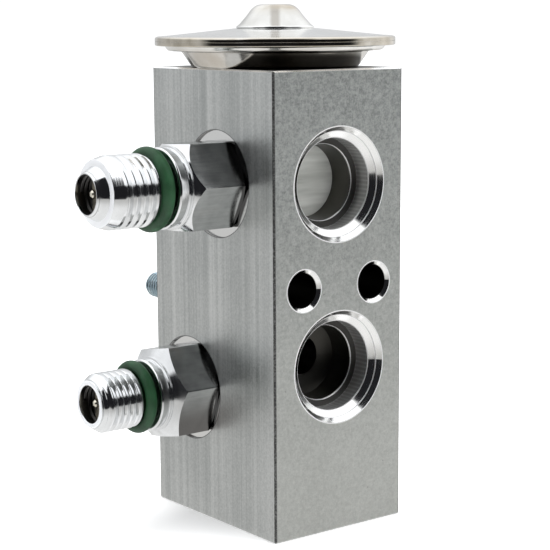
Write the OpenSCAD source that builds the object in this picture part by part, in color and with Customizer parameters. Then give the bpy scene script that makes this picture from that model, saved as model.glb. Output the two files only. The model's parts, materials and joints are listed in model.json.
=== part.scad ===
// Block-type thermostatic expansion valve: drilled aluminium block, diaphragm head on top,
// two self-sealing male fittings on the left face and two pipe ports on the front face.
// Origin: centre of the block's bottom face, on the valve axis. +Z up, ports face -Y.

/* [Block] */
// Width of the block across the fitting face
block_w = 28.2; // [27.6:0.2:33]
// Depth of the block from the port face to the stud face
block_d = 35.4; // [34:0.2:42]
// Height of the block
block_h = 80; // [78:1:96]
// Bevel along the block's edges
edge_bevel = 0.25; // [0.2:0.05:0.6]

/* [Pipe ports] */
// Height of the lower port above the base
port_low_z = 29; // [28:0.5:31]
// Distance between the two port axes
port_pitch = 31.6; // [30:0.2:34]
// Radius of the mouth at the block's face
port_mouth_r = 9.78; // [9.4:0.02:10.6]
// Radius where the outer cone meets the inner cone
port_lip_r = 9.03; // [8.6:0.01:9.3]
// Depth of the outer cone
port_lip_depth = 0.9; // [0.5:0.1:1.2]
// Radius of the seal counterbore
port_seal_r = 7.85; // [7.4:0.05:8.4]
// Depth at which the seal counterbore starts
port_seal_depth = 1.75; // [1.5:0.05:2.2]
// Radius of the pipe bore
port_bore_r = 6.5; // [5.6:0.1:7]
// Depth at which the pipe bore starts
port_bore_depth = 4.8; // [4:0.1:5.4]
// Depth of the pipe bore's wall
port_floor_depth = 9.8; // [8.6:0.1:10]
// Depth of the conical floor below the wall
port_cone_depth = 1; // [0.6:0.1:1.4]

/* [Clamp bolts and stud] */
// Distance between the two clamp bolt holes
bolt_pitch = 15.4; // [15:0.1:17]
// Radius of the clamp bolt holes
bolt_hole_r = 3.05; // [2.6:0.05:3.3]
// Width of the bevel round each bolt hole
bolt_bevel = 0.55; // [0.3:0.05:0.8]
// Height of the bolt holes above the lower port
bolt_rise = 14.1; // [13.5:0.1:15]
// Radius of the threaded stud
stud_r = 2.45; // [2:0.05:3]
// Radius of the stud's thicker end inside the block
stud_root_r = 2.95; // [2.6:0.05:3.2]
// Length of the stud outside the block
stud_reach = 22.2; // [14:0.2:26]
// Length of the stud inside the block
stud_grip = 9; // [6:0.5:10]
// Height of the stud above the lower port
stud_rise = 7.1; // [6.6:0.1:7.6]

/* [Suction fitting] */
// Sideways place of the suction fitting's axis
suction_y = -1.65; // [-2.4:0.05:-0.6]
// Distance of the suction fitting's axis below the upper port's axis
suction_drop = 0.2; // [0:0.1:0.6]
// Width across flats of the suction hexagon
suction_hex = 14.6; // [14:0.1:16]
// Turn of the suction hexagon about its axis
suction_turn = -2.7; // [-30:0.1:30]
// Length of the suction hexagon outside the block, to its front corners
suction_hex_l = 8.05; // [6:0.05:10]
// Radius of the suction collar
suction_collar_r = 6.95; // [6.6:0.05:7.2]
// Distance from those corners to the front of the suction collar
suction_collar_l = 4.15; // [3:0.05:5]
// Radius of the suction thread
suction_thread_r = 6.2; // [5.9:0.05:6.6]
// Length of the suction thread
suction_thread_l = 6; // [4.5:0.1:9]
// Length of the plain band in front of the suction thread
suction_band_l = 2; // [1.2:0.1:3]
// Length of the suction nose cone
suction_nose_l = 2.9; // [2:0.1:3.6]
// Radius of the suction O-ring's section
suction_ring_t = 1.2; // [0.9:0.05:1.3]
// How far that O-ring stands above the thread
suction_ring_stand = 1; // [0.6:0.05:1.2]

/* [Liquid fitting] */
// Sideways place of the liquid fitting's axis
liquid_y = 7.28; // [6.4:0.02:7.6]
// Distance of the liquid fitting's axis below the lower port's axis
liquid_drop = 6; // [5.6:0.1:6.6]
// Width across flats of the liquid hexagon
liquid_hex = 15.6; // [14:0.1:16]
// Turn of the liquid hexagon about its axis
liquid_turn = -10.5; // [-30:0.1:30]
// Length of the liquid hexagon outside the block, to its front corners
liquid_hex_l = 6.55; // [5:0.05:9]
// Radius of the liquid collar
liquid_collar_r = 6.4; // [6:0.05:6.9]
// Distance from those corners to the front of the liquid collar
liquid_collar_l = 3.7; // [3:0.05:5]
// Radius of the liquid thread
liquid_thread_r = 5.25; // [5:0.05:5.7]
// Length of the liquid thread
liquid_thread_l = 6.6; // [4:0.1:8]
// Length of the cone in front of the liquid thread
liquid_bevel_l = 1.3; // [0.8:0.1:1.6]
// Length of the rim round the liquid mouth
liquid_nose_l = 0.4; // [0.3:0.05:0.8]
// Radius of that rim
liquid_nose_r = 4.15; // [4:0.05:4.4]
// Radius of the liquid O-ring's section
liquid_ring_t = 1; // [0.8:0.05:1.1]
// How far that O-ring stands above the thread
liquid_ring_stand = 1.2; // [0.6:0.05:1.3]

/* [Both fittings] */
// Radius of the round recess that the hexagon sits in
spot_r = 9.25; // [9.1:0.05:9.6]
// Depth of that recess
spot_depth = 0.45; // [0.3:0.05:0.6]
// Radius of the shank screwed into the block
shank_r = 5.6; // [5:0.1:5.8]
// Length of the shank screwed into the block
shank_l = 6.2; // [5:0.1:6.6]
// Radius of the mouth in the nose
mouth_r = 3.3; // [3.2:0.02:3.5]
// Radius of the passage behind the valve core
passage_r = 2.7; // [2.6:0.05:3]
// Width of the gap between the collar and its O-ring
ring_gap = 0.65; // [0.4:0.05:1]

/* [Valve cores] */
// Radius of the core pin
pin_r = 0.75; // [0.6:0.05:0.8]
// Depth of the pin's end below the mouth
pin_inset = 0.9; // [0.5:0.1:1.6]
// Width of the core's bridge
bridge_w = 2.4; // [2:0.1:2.7]
// Length of the core's threaded bridge and prongs
bridge_l = 3.4; // [3:0.1:4.2]
// Length of the core's barrel
barrel_l = 5; // [4.4:0.1:6]
// Radius of the core's barrel
barrel_r = 2.35; // [2.2:0.05:2.4]
// Wire diameter of the core spring
core_wire = 0.32; // [0.2:0.02:0.34]

/* [Diaphragm head] */
// Radius of the head's rim
rim_r = 21.05; // [20:0.05:23]
// Radius of the shoulder below the rim
shoulder_r = 19.05; // [18.2:0.05:19.4]
// Radius of the bowl at its top
bowl_top_r = 16.5; // [16.2:0.1:17.4]
// Radius of the bowl where it meets the block
bowl_foot_r = 14.4; // [13.9:0.05:15]
// Height of the bowl
bowl_h = 2.8; // [2.6:0.1:3.4]
// Height of the step from the bowl to the joint with the cap
step_h = 1.7; // [1.4:0.1:2.4]
// Thickness of the cap's sheet
sheet_t = 0.65; // [0.5:0.05:0.8]
// Rise of the cap from the rim to the dome
cap_rise = 1.35; // [1:0.05:2]
// Radius of the dome's foot
dome_foot_r = 6.8; // [6:0.1:8]
// Radius of the dome's flat top
dome_top_r = 3; // [2.4:0.1:3.4]
// Height of the dome
dome_h = 4.1; // [3.2:0.1:5]
// Radius of the threaded boss
boss_r = 11.4; // [10.6:0.1:11.6]
// Length of the threaded boss
boss_l = 8; // [6.6:0.1:9]
// Thickness of the diaphragm
diaphragm_t = 0.2; // [0.15:0.05:0.3]

/* [Valve train] */
// Opening travel of the valve
valve_travel = 0.8; // [0.4:0.1:1]
// Radius of the sensing rod
rod_r = 2.8; // [2.4:0.1:3]
// Radius of the push pin
push_r = 1.2; // [1:0.05:1.3]
// Radius of the orifice
orifice_r = 1.9; // [1.7:0.05:2.1]
// Thickness of the seat wall
seat_land = 1.3; // [1:0.1:1.6]
// Radius of the ball
ball_r = 2.5; // [2.4:0.05:2.8]
// Radius of the pressure pad under the diaphragm
pad_r = 12.5; // [10:0.1:13]
// Thickness of the ball carrier's flange
carrier_t = 1.5; // [1.2:0.1:2]

/* [Superheat spring and adjuster] */
// Radius of the spring chamber
chamber_r = 5; // [4.9:0.05:5.2]
// Outer radius of the superheat spring
spring_r = 4.2; // [3.8:0.1:4.4]
// Wire diameter of the superheat spring
spring_wire = 1.1; // [0.8:0.05:1.2]
// Set length of the superheat spring
spring_l = 9.6; // [9.2:0.1:10.4]
// Radius of the adjusting screw
adjuster_r = 5.9; // [5.7:0.05:6.4]
// Length of the adjusting screw
adjuster_l = 7; // [6.8:0.1:7.4]
// Width across flats of the adjusting screw's socket
socket_hex = 6; // [5:0.1:6.4]
// Depth of the socket
socket_depth = 2.9; // [2:0.1:3]
// Travel of the adjusting screw each way
adjuster_travel = 1; // [0.5:0.1:1.2]

/* [Hidden] */
$fn = 64;
// Radial clearance of what slides or screws, and of what rests in place
run_gap = 0.05;
rest_gap = 0.02;
// Overrun of a cut past a face
over = 0.5;

port_high_z = port_low_z + port_pitch;
suction_z = port_high_z - suction_drop;
liquid_z = port_low_z - liquid_drop;
bolt_z = port_low_z + bolt_rise;
stud_z = port_low_z + stud_rise;

// Height of the cone between the hexagon's front corners and a smaller radius
function cone_rise(flats, r) = (flats / sqrt(3) - r) * tan(hex_cone_angle);

// Places along each fitting, counted outwards from the block's face
suction_collar_u = suction_hex_l + suction_collar_l;
suction_thread_u = suction_collar_u + ring_gap + 2 * suction_ring_t;
suction_band_u = suction_thread_u + suction_thread_l;
suction_cone_u = suction_band_u + suction_band_l;
suction_tip_u = suction_cone_u + suction_nose_l;
liquid_collar_u = liquid_hex_l + liquid_collar_l;
liquid_thread_u = liquid_collar_u + ring_gap + 2 * liquid_ring_t;
liquid_bevel_u = liquid_thread_u + liquid_thread_l;
liquid_nose_u = liquid_bevel_u + liquid_bevel_l;
liquid_tip_u = liquid_nose_u + liquid_nose_l;
// Small edges of both fittings: bevels, the washer step at the collar's foot, the hexagon's turned corners
thread_bevel = 0.5;
collar_bevel = 0.25;
washer_step = 0.2;
washer_l = 0.45;
washer_slope_l = 0.35;
hex_back_bevel = 0.55;
hex_cone_angle = 30;
suction_ring_r = suction_thread_r + suction_ring_stand - suction_ring_t;
liquid_ring_r = liquid_thread_r + liquid_ring_stand - liquid_ring_t;
suction_washer_u = suction_hex_l + cone_rise(suction_hex, suction_collar_r + washer_step);
liquid_washer_u = liquid_hex_l + cone_rise(liquid_hex, liquid_collar_r + washer_step);

// Core stations, counted inwards from the tip of the nose
bridge_v = pin_inset + 1.1;
prong_v = bridge_v + 1;
barrel_v = bridge_v + bridge_l;
gasket_v = barrel_v + 1;
gasket_l = 0.8;
foot_v = barrel_v + barrel_l;
core_floor_l = 1.4;
core_bore_r = 1.75;
collar_v = prong_v + 0.2;
collar_t = 0.4;
plunger_r = 2;
plunger_seal_t = 0.8;
plunger_t = 0.6;

// Head stations
joint_z = block_h + bowl_h + step_h;
cap_foot_z = joint_z + diaphragm_t;
dome_foot_z = cap_foot_z + sheet_t + cap_rise;
recess_floor_z = block_h + 1.4;
gland_depth = 1.6;
gland_w = 1.8;
head_ring_t = 0.75;
pad_t = 1.5;
pad_hub_r = 4.6;
pad_hub_l = 4.5;
recess_top_w = 4.2;
recess_foot_w = 1.5;
boss_bore_r = 6;

// Passages on the valve axis, from the head down
suction_way_r = 4.6;
suction_way_end = rod_r + 1.4;
equaliser_r = rod_r + 0.8;
packing_r = rod_r + 1.8;
packing_top_z = suction_z - suction_way_r;
packing_depth = 5.8;
packing_floor_z = packing_top_z - packing_depth;
retainer_t = 2;
rod_guide_l = 4;
rod_foot_z = packing_floor_z - rod_guide_l;
guide_floor_z = rod_foot_z - valve_travel - 0.7;
pad_top_z = joint_z - run_gap;
rod_top_z = pad_top_z - pad_t - 1;
outlet_hole_r = 3.4;
outlet_rise = 0.3;
outlet_z = port_low_z + outlet_rise;
outlet_bore_r = 3;
outlet_top_z = outlet_z + outlet_hole_r;
seat_top_z = outlet_z - outlet_hole_r;
seat_z = seat_top_z - seat_land;
seat_gap = 0.06;
ball_z = seat_z - sqrt(ball_r * ball_r - orifice_r * orifice_r) - seat_gap;
carrier_top_z = ball_z - ball_r * 0.6;
carrier_r = chamber_r - 0.6;
spring_top_z = carrier_top_z - carrier_t;
spring_foot_z = spring_top_z - spring_l;
spigot_l = 2;
spigot_r = spring_r - spring_wire - 0.3;
adjuster_foot_z = spring_foot_z - adjuster_l;
adjuster_bore_top_z = spring_foot_z + adjuster_travel + over;
adjuster_ring_t = 0.9;
adjuster_ring_drop = 2;
adjuster_ring_z = spring_foot_z - adjuster_ring_drop;
adjuster_groove_h = 2 * adjuster_ring_t + 0.2;
inlet_r = 2.6;
inlet_y = 5;
shank_ring_t = 0.6;

// Local +Z points out of the left face, along the fitting
module on_left(y, z) translate([-block_w / 2, y, z]) rotate([0, -90, 0]) children();
module at_suction() on_left(suction_y, suction_z) children();
module at_liquid() on_left(liquid_y, liquid_z) children();
// Local +Z points out of the port face
module on_front(x, z) translate([x, -block_d / 2, z]) rotate([90, 0, 0]) children();
// Local +Z points into the nose from its tip
module from_tip(tip_u) translate([0, 0, tip_u]) mirror([0, 0, 1]) children();

module ring(centre_r, section_r) {
    rotate_extrude() translate([centre_r, 0]) circle(r = section_r, $fn = 32);
}

// Tube or disc between two heights
module sleeve(outer_r, inner_r, z0, z1) {
    rotate_extrude() translate([inner_r, z0]) square([outer_r - inner_r, z1 - z0]);
}

// A coil with closed, ground ends, standing on z = 0
function coil_rise(t, turns, length, wire) =
    t < 1 ? wire * (0.15 + 1.06 * t)
    : t > turns - 1 ? length - wire * (0.15 + 1.06 * (turns - t))
    : wire * 1.21 + (length - wire * 2.42) * (t - 1) / (turns - 2);
module coil(outer_r, wire, length, turns, steps, sides) {
    mean_r = outer_r - wire / 2;
    count = turns * steps;
    points = [for (i = [0:count], k = [0:sides - 1])
        let (a = 360 * i / steps, b = 360 * k / sides, r = mean_r + wire / 2 * cos(b))
        [r * cos(a), r * sin(a), coil_rise(i / steps, turns, length, wire) + wire / 2 * sin(b)]];
    walls = [for (i = [0:count - 1], k = [0:sides - 1])
        let (n = (k + 1) % sides, p = i * sides, q = p + sides)
        each [[p + k, p + n, q + n], [p + k, q + n, q + k]]];
    start = [[for (k = [sides - 1:-1:0]) k]];
    end = [[for (k = [0:sides - 1]) count * sides + k]];
    intersection() {
        polyhedron(points = points, faces = concat(walls, start, end));
        translate([-outer_r - 1, -outer_r - 1, 0]) cube([2 * outer_r + 2, 2 * outer_r + 2, length]);
    }
}

module octagon(w, h) {
    c = edge_bevel;
    polygon([[-w / 2 + c, 0], [w / 2 - c, 0], [w / 2, c], [w / 2, h - c],
        [w / 2 - c, h], [-w / 2 + c, h], [-w / 2, h - c], [-w / 2, c]]);
}

module block_blank() {
    intersection() {
        translate([0, block_d / 2, 0]) rotate([90, 0, 0])
            linear_extrude(block_d) octagon(block_w, block_h);
        translate([-block_w / 2, 0, 0]) rotate([90, 0, 90])
            linear_extrude(block_w) octagon(block_d, block_h);
        translate([0, -block_d / 2, 0]) linear_extrude(block_h) octagon(block_w, block_d);
    }
}

// Stepped pipe port: two cones at the mouth, seal counterbore, pipe bore, conical floor
module port_cut(floor_r) {
    lead_in = 0.25;
    cone_drop = 1.5 * port_cone_depth * (port_bore_r - floor_r) / port_bore_r;
    rotate_extrude() polygon([[0, over], [port_mouth_r, over], [port_mouth_r, 0],
        [port_lip_r, -port_lip_depth], [port_seal_r, -port_seal_depth], [port_seal_r, -port_bore_depth],
        [port_bore_r + lead_in, -port_bore_depth], [port_bore_r, -port_bore_depth - lead_in],
        [port_bore_r, -port_floor_depth], [floor_r, -port_floor_depth - cone_drop],
        [0, -port_floor_depth - cone_drop]]);
}

module bolt_cut() {
    translate([0, 0, -block_d - over]) cylinder(r = bolt_hole_r, h = block_d + 2 * over);
    translate([0, 0, -bolt_bevel])
        cylinder(r1 = bolt_hole_r, r2 = bolt_hole_r + bolt_bevel, h = bolt_bevel);
    translate([0, 0, -block_d])
        cylinder(r1 = bolt_hole_r + bolt_bevel, r2 = bolt_hole_r, h = bolt_bevel);
}

// Round recess, seal groove and shank hole under a fitting
module pocket_cut() {
    translate([0, 0, -spot_depth]) cylinder(r = spot_r, h = spot_depth + over);
    translate([0, 0, -spot_depth - 2.3 * shank_ring_t])
        cylinder(r = shank_r + 2 * shank_ring_t + 0.1, h = 2.3 * shank_ring_t + 0.1);
    translate([0, 0, -shank_l - 0.4]) cylinder(r = shank_r + run_gap, h = shank_l + 0.4);
}

// Stacked bores on the valve axis
module axis_cut() {
    translate([0, 0, block_h - gland_depth]) cylinder(r = boss_r + gland_w, h = gland_depth + over);
    translate([0, 0, block_h - boss_l - 0.5]) cylinder(r = boss_r + run_gap, h = boss_l);
    translate([0, 0, suction_z]) cylinder(r = equaliser_r, h = block_h - boss_l - suction_z);
    translate([0, 0, packing_floor_z]) cylinder(r = packing_r, h = suction_z - packing_floor_z);
    translate([0, 0, guide_floor_z]) cylinder(r = rod_r + run_gap, h = suction_z - guide_floor_z);
    translate([0, 0, outlet_z]) cylinder(r = push_r + run_gap, h = guide_floor_z - outlet_z + 0.1);
    translate([0, 0, seat_top_z]) cylinder(r = outlet_bore_r, h = outlet_top_z - seat_top_z);
    translate([0, 0, seat_z - 0.1]) cylinder(r = orifice_r, h = seat_land + 0.2);
    translate([0, 0, spring_foot_z]) cylinder(r = chamber_r, h = seat_z - spring_foot_z);
    translate([0, 0, -over]) cylinder(r = adjuster_r + run_gap, h = adjuster_bore_top_z + over);
    translate([0, 0, -0.01]) cylinder(r1 = adjuster_r + 0.6, r2 = adjuster_r, h = 0.6);
}

module valve_block() {
    way_x = -block_w / 2 + shank_l;
    color([0.72, 0.73, 0.73]) difference() {
        block_blank();
        on_front(0, port_high_z) port_cut(0);
        on_front(0, port_low_z) port_cut(outlet_hole_r);
        for (side = [-1, 1]) on_front(side * bolt_pitch / 2, bolt_z) bolt_cut();
        at_suction() pocket_cut();
        at_liquid() pocket_cut();
        axis_cut();
        // Suction way from the shank hole past the sensing rod
        at_suction() translate([0, 0, -block_w / 2 - suction_way_end])
            cylinder(r = suction_way_r, h = block_w / 2 + suction_way_end - shank_l);
        // Offset drilling from the upper port's floor into the suction way
        translate([-port_bore_r + 2.8, suction_y - 1, suction_z]) rotate([90, 0, 0])
            cylinder(r = 2.7, h = block_d / 2 - port_floor_depth + suction_y - 0.4 + 2);
        // Outlet from above the seat into the lower port
        translate([0, 0, outlet_z]) rotate([90, 0, 0])
            cylinder(r = outlet_hole_r, h = block_d / 2 - port_floor_depth);
        // Inlet from the liquid shank hole into the spring chamber
        translate([way_x - 1, inlet_y, liquid_z]) rotate([0, 90, 0]) cylinder(r = inlet_r, h = -way_x + 1);
        // Stud hole
        translate([0, block_d / 2 - stud_grip - 1, stud_z]) rotate([-90, 0, 0])
            cylinder(r = stud_root_r + run_gap, h = stud_grip + 1 + over);
    }
}

// Stepped stud: thick end screwed into the block, thin end reaching out of the back face
module mounting_stud() {
    bevel = 0.5;
    length = stud_grip + stud_reach;
    step_l = stud_root_r - stud_r;
    color([0.6, 0.68, 0.74]) translate([0, block_d / 2 - stud_grip, stud_z]) rotate([-90, 0, 0])
        rotate_extrude() polygon([[0, 0], [stud_root_r - bevel, 0], [stud_root_r, bevel],
            [stud_root_r, stud_grip - step_l / 2], [stud_r, stud_grip + step_l / 2],
            [stud_r, length - bevel], [stud_r - bevel, length], [0, length]]);
}

// Hexagon with turned corners, from the recess floor to the cone on its front
module hex_head(flats, length, turn, washer_r) {
    corner_r = flats / sqrt(3);
    front = length + cone_rise(flats, washer_r);
    intersection() {
        translate([0, 0, -spot_depth]) rotate([0, 0, 30 - turn])
            cylinder(r = corner_r, h = front + spot_depth, $fn = 6);
        rotate_extrude() polygon([[0, -spot_depth], [flats / 2, -spot_depth],
            [corner_r, -spot_depth + hex_back_bevel], [corner_r, length], [washer_r, front], [0, front]]);
    }
}

// Bore of a fitting: mouth, seat for the core's gasket and passage to the shank
module fitting_bore(tip_u) {
    from_tip(tip_u) {
        translate([0, 0, -over]) cylinder(r = mouth_r, h = gasket_v + over);
        translate([0, 0, gasket_v]) cylinder(r1 = mouth_r, r2 = passage_r, h = gasket_l);
        cylinder(r = passage_r, h = tip_u + shank_l + over);
    }
}

module shank() {
    rotate_extrude() polygon([[0, -shank_l], [shank_r - thread_bevel, -shank_l],
        [shank_r, -shank_l + thread_bevel], [shank_r, -spot_depth], [0, -spot_depth]]);
}

// Washer step, collar, groove for the O-ring and the thread's first bevel
function collar_outline(washer_u, collar_r, collar_u, neck_r, thread_r, thread_u) = [
    [0, washer_u - over], [collar_r + washer_step, washer_u - over],
    [collar_r + washer_step, washer_u + washer_l], [collar_r, washer_u + washer_l + washer_slope_l],
    [collar_r, collar_u - collar_bevel], [collar_r - collar_bevel, collar_u],
    [neck_r, collar_u], [neck_r, thread_u], [thread_r - thread_bevel, thread_u],
    [thread_r, thread_u + thread_bevel]];

module suction_fitting() {
    neck_r = suction_ring_r - suction_ring_t - rest_gap;
    relief = 0.55;
    color([0.8, 0.81, 0.82]) at_suction() difference() {
        union() {
            shank();
            hex_head(suction_hex, suction_hex_l, suction_turn, suction_collar_r + washer_step);
            rotate_extrude() polygon(concat(
                collar_outline(suction_washer_u, suction_collar_r, suction_collar_u, neck_r,
                    suction_thread_r, suction_thread_u),
                [[suction_thread_r, suction_band_u], [suction_thread_r - relief, suction_band_u],
                    [suction_thread_r - relief, suction_band_u + relief],
                    [suction_thread_r, suction_band_u + 2 * relief], [suction_thread_r, suction_cone_u],
                    [mouth_r + 0.15, suction_tip_u], [0, suction_tip_u]]));
        }
        fitting_bore(suction_tip_u);
    }
}

module liquid_fitting() {
    neck_r = liquid_ring_r - liquid_ring_t - rest_gap;
    rim_bevel = 0.1;
    undercut = 0.1;
    color([0.8, 0.81, 0.82]) at_liquid() difference() {
        union() {
            shank();
            hex_head(liquid_hex, liquid_hex_l, liquid_turn, liquid_collar_r + washer_step);
            rotate_extrude() polygon(concat(
                collar_outline(liquid_washer_u, liquid_collar_r, liquid_collar_u, neck_r,
                    liquid_thread_r, liquid_thread_u),
                [[liquid_thread_r, liquid_bevel_u], [liquid_nose_r + undercut, liquid_nose_u],
                    [liquid_nose_r - undercut, liquid_nose_u], [liquid_nose_r, liquid_nose_u + undercut],
                    [liquid_nose_r, liquid_tip_u - rim_bevel], [liquid_nose_r - rim_bevel, liquid_tip_u],
                    [0, liquid_tip_u]]));
        }
        fitting_bore(liquid_tip_u);
    }
}

// Green O-ring in the groove between collar and thread
module suction_o_ring() {
    color([0.07, 0.3, 0.16]) at_suction()
        translate([0, 0, suction_thread_u - suction_ring_t]) ring(suction_ring_r, suction_ring_t);
}
module liquid_o_ring() {
    color([0.07, 0.3, 0.16]) at_liquid()
        translate([0, 0, liquid_thread_u - liquid_ring_t]) ring(liquid_ring_r, liquid_ring_t);
}

// O-ring round the shank, under the hexagon
module shank_seal() {
    color([0.1, 0.1, 0.1]) translate([0, 0, -spot_depth - shank_ring_t - rest_gap])
        ring(shank_r + shank_ring_t + rest_gap, shank_ring_t);
}
module suction_shank_seal() at_suction() shank_seal();
module liquid_shank_seal() at_liquid() shank_seal();

// Valve core, drawn inwards from the tip of its nose: bridge, two prongs and a barrel
module core_barrel() {
    thread_r = mouth_r - run_gap;
    color([0.78, 0.66, 0.4]) difference() {
        union() {
            intersection() {
                translate([0, 0, bridge_v]) cylinder(r = thread_r, h = bridge_l + 0.4);
                translate([-thread_r, -bridge_w / 2, bridge_v])
                    cube([2 * thread_r, bridge_w, bridge_l + 0.4]);
            }
            translate([0, 0, barrel_v]) cylinder(r = barrel_r, h = barrel_l);
            translate([0, 0, barrel_v]) cylinder(r = thread_r, h = gasket_v - barrel_v);
        }
        translate([0, 0, bridge_v - over]) cylinder(r = pin_r + run_gap, h = 2 + over);
        translate([0, 0, prong_v]) cylinder(r = core_bore_r, h = foot_v - core_floor_l - prong_v);
        translate([0, 0, prong_v]) cylinder(r = 1.15, h = foot_v - prong_v + over);
    }
}
module suction_core_barrel() at_suction() from_tip(suction_tip_u) core_barrel();
module liquid_core_barrel() at_liquid() from_tip(liquid_tip_u) core_barrel();

// Plastic gasket between the barrel's flange and its conical seat
module core_gasket() {
    color([0.9, 0.88, 0.8]) rotate_extrude() polygon([[barrel_r + rest_gap, gasket_v],
        [mouth_r - 0.1, gasket_v], [passage_r - 0.1, gasket_v + gasket_l],
        [barrel_r + rest_gap, gasket_v + gasket_l]]);
}
module suction_core_gasket() at_suction() from_tip(suction_tip_u) core_gasket();
module liquid_core_gasket() at_liquid() from_tip(liquid_tip_u) core_gasket();

// Pin with a rounded end, a spring collar and a foot that holds the plunger seal
module core_pin() {
    foot_top = foot_v + plunger_seal_t + rest_gap;
    collar_r = core_bore_r - 0.25;
    color([0.85, 0.82, 0.7]) rotate_extrude() polygon([[0, pin_inset], [pin_r * 0.5, pin_inset + 0.08],
        [pin_r * 0.87, pin_inset + 0.3], [pin_r, pin_inset + 0.6], [pin_r, collar_v],
        [collar_r, collar_v], [collar_r, collar_v + collar_t], [pin_r, collar_v + collar_t],
        [pin_r, foot_top], [plunger_r, foot_top], [plunger_r, foot_top + plunger_t - 0.2],
        [plunger_r - 0.2, foot_top + plunger_t], [0, foot_top + plunger_t]]);
}
module suction_core_pin() at_suction() from_tip(suction_tip_u) core_pin();
module liquid_core_pin() at_liquid() from_tip(liquid_tip_u) core_pin();

// Rubber seal on the pin's foot, closing the barrel from below
module plunger_seal() {
    color([0.12, 0.12, 0.12])
        sleeve(plunger_r - 0.1, pin_r + rest_gap, foot_v + rest_gap, foot_v + plunger_seal_t);
}
module suction_plunger_seal() at_suction() from_tip(suction_tip_u) plunger_seal();
module liquid_plunger_seal() at_liquid() from_tip(liquid_tip_u) plunger_seal();

// Spring from the barrel's floor up to the pin's collar
module core_spring() {
    floor_v = foot_v - core_floor_l;
    length = floor_v - collar_v - collar_t - 2 * rest_gap;
    color([0.75, 0.76, 0.78]) translate([0, 0, floor_v - rest_gap]) mirror([0, 0, 1])
        coil(core_bore_r - 0.2, core_wire, length, 7, 12, 6);
}
module suction_core_spring() at_suction() from_tip(suction_tip_u) core_spring();
module liquid_core_spring() at_liquid() from_tip(liquid_tip_u) core_spring();

// Lower half of the diaphragm head: threaded boss, bowl and stepped flange
module head_base() {
    foot_z = block_h - boss_l;
    color([0.82, 0.82, 0.8]) rotate_extrude() polygon([
        [boss_bore_r, foot_z], [boss_r - 0.6, foot_z], [boss_r, foot_z + 0.6], [boss_r, block_h],
        [bowl_foot_r, block_h], [bowl_foot_r + 0.4, block_h + 0.35], [bowl_top_r, block_h + bowl_h],
        [shoulder_r - 0.4, block_h + bowl_h + 0.1], [shoulder_r, block_h + bowl_h + 0.4],
        [shoulder_r + 0.25, joint_z - 0.45], [rim_r - 0.15, joint_z - 0.4], [rim_r, joint_z - 0.25],
        [rim_r, joint_z], [pad_r + recess_top_w, joint_z], [pad_r + recess_foot_w, recess_floor_z],
        [boss_bore_r, recess_floor_z]]);
}

// Pressed cap: flat rim, rolled edge and a shallow cone up to the dome
module head_cap() {
    top_z = cap_foot_z + sheet_t;
    color([0.84, 0.84, 0.82]) rotate_extrude() polygon([
        [rim_r - 1.6, cap_foot_z], [rim_r - 0.1, cap_foot_z], [rim_r, cap_foot_z + 0.15],
        [rim_r, top_z - 0.25], [rim_r - 0.3, top_z], [rim_r - 1.8, top_z + 0.08],
        [dome_foot_r + 2, dome_foot_z - 0.2], [dome_foot_r, dome_foot_z], [dome_foot_r - 1.6, dome_foot_z],
        [dome_foot_r - 1.6, dome_foot_z - sheet_t], [dome_foot_r + 2, dome_foot_z - 0.2 - sheet_t]]);
}

// Hollow dome welded over the cap's filling hole
module charge_dome() {
    waist_r = (dome_foot_r + dome_top_r) / 2 - 0.2;
    waist_z = dome_foot_z + dome_h * 0.55;
    top_z = dome_foot_z + dome_h;
    round_r = 0.55;
    color([0.84, 0.82, 0.78]) rotate_extrude() polygon(concat(
        [[0, top_z - 0.9], [dome_top_r - 0.5, top_z - 1],
            [dome_foot_r - 2.6, dome_foot_z + 0.9], [dome_foot_r - 2.2, dome_foot_z]],
        [[dome_foot_r, dome_foot_z], [dome_foot_r, dome_foot_z + 0.3],
            [dome_foot_r - 0.35, dome_foot_z + 0.6], [waist_r + 0.55, waist_z]],
        [for (a = [20:14:90]) [dome_top_r + round_r * cos(a), top_z - round_r + round_r * sin(a)]],
        [[0, top_z]]));
}

// Thin corrugated disc clamped between the cap and the base
module diaphragm() {
    z0 = joint_z;
    steps = 36;
    wave_r = pad_r + recess_top_w - 0.6;
    flat_r = 5;
    function wave(r) = r < flat_r || r > wave_r ? 0
        : 0.22 * (1 - cos(360 * 3 * (r - flat_r) / (wave_r - flat_r)));
    color([0.85, 0.85, 0.83]) rotate_extrude() polygon(concat(
        [for (i = [0:steps]) let (r = (rim_r - 0.3) * i / steps) [r, z0 + wave(r)]],
        [for (i = [steps:-1:0]) let (r = (rim_r - 0.3) * i / steps) [r, z0 + wave(r) + diaphragm_t]]));
}

module head_o_ring() {
    color([0.1, 0.1, 0.1]) translate([0, 0, block_h - gland_depth / 2])
        ring(boss_r + gland_w / 2, head_ring_t);
}

// Pressure pad under the diaphragm, with a hub that caps the sensing rod
module diaphragm_pad() {
    socket_r = rod_r + rest_gap;
    color([0.8, 0.7, 0.45]) rotate_extrude() polygon([
        [0, pad_top_z], [pad_r - 0.4, pad_top_z], [pad_r, pad_top_z - 0.4], [pad_r, pad_top_z - pad_t],
        [pad_hub_r, pad_top_z - pad_t], [pad_hub_r, pad_top_z - pad_t - pad_hub_l],
        [socket_r, pad_top_z - pad_t - pad_hub_l], [socket_r, rod_top_z + rest_gap],
        [0, rod_top_z + rest_gap]]);
}

module sensing_rod() {
    bevel = 0.4;
    color([0.78, 0.79, 0.8]) rotate_extrude() polygon([[0, rod_foot_z], [rod_r - bevel, rod_foot_z],
        [rod_r, rod_foot_z + bevel], [rod_r, rod_top_z - bevel], [rod_r - bevel, rod_top_z], [0, rod_top_z]]);
}

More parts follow.
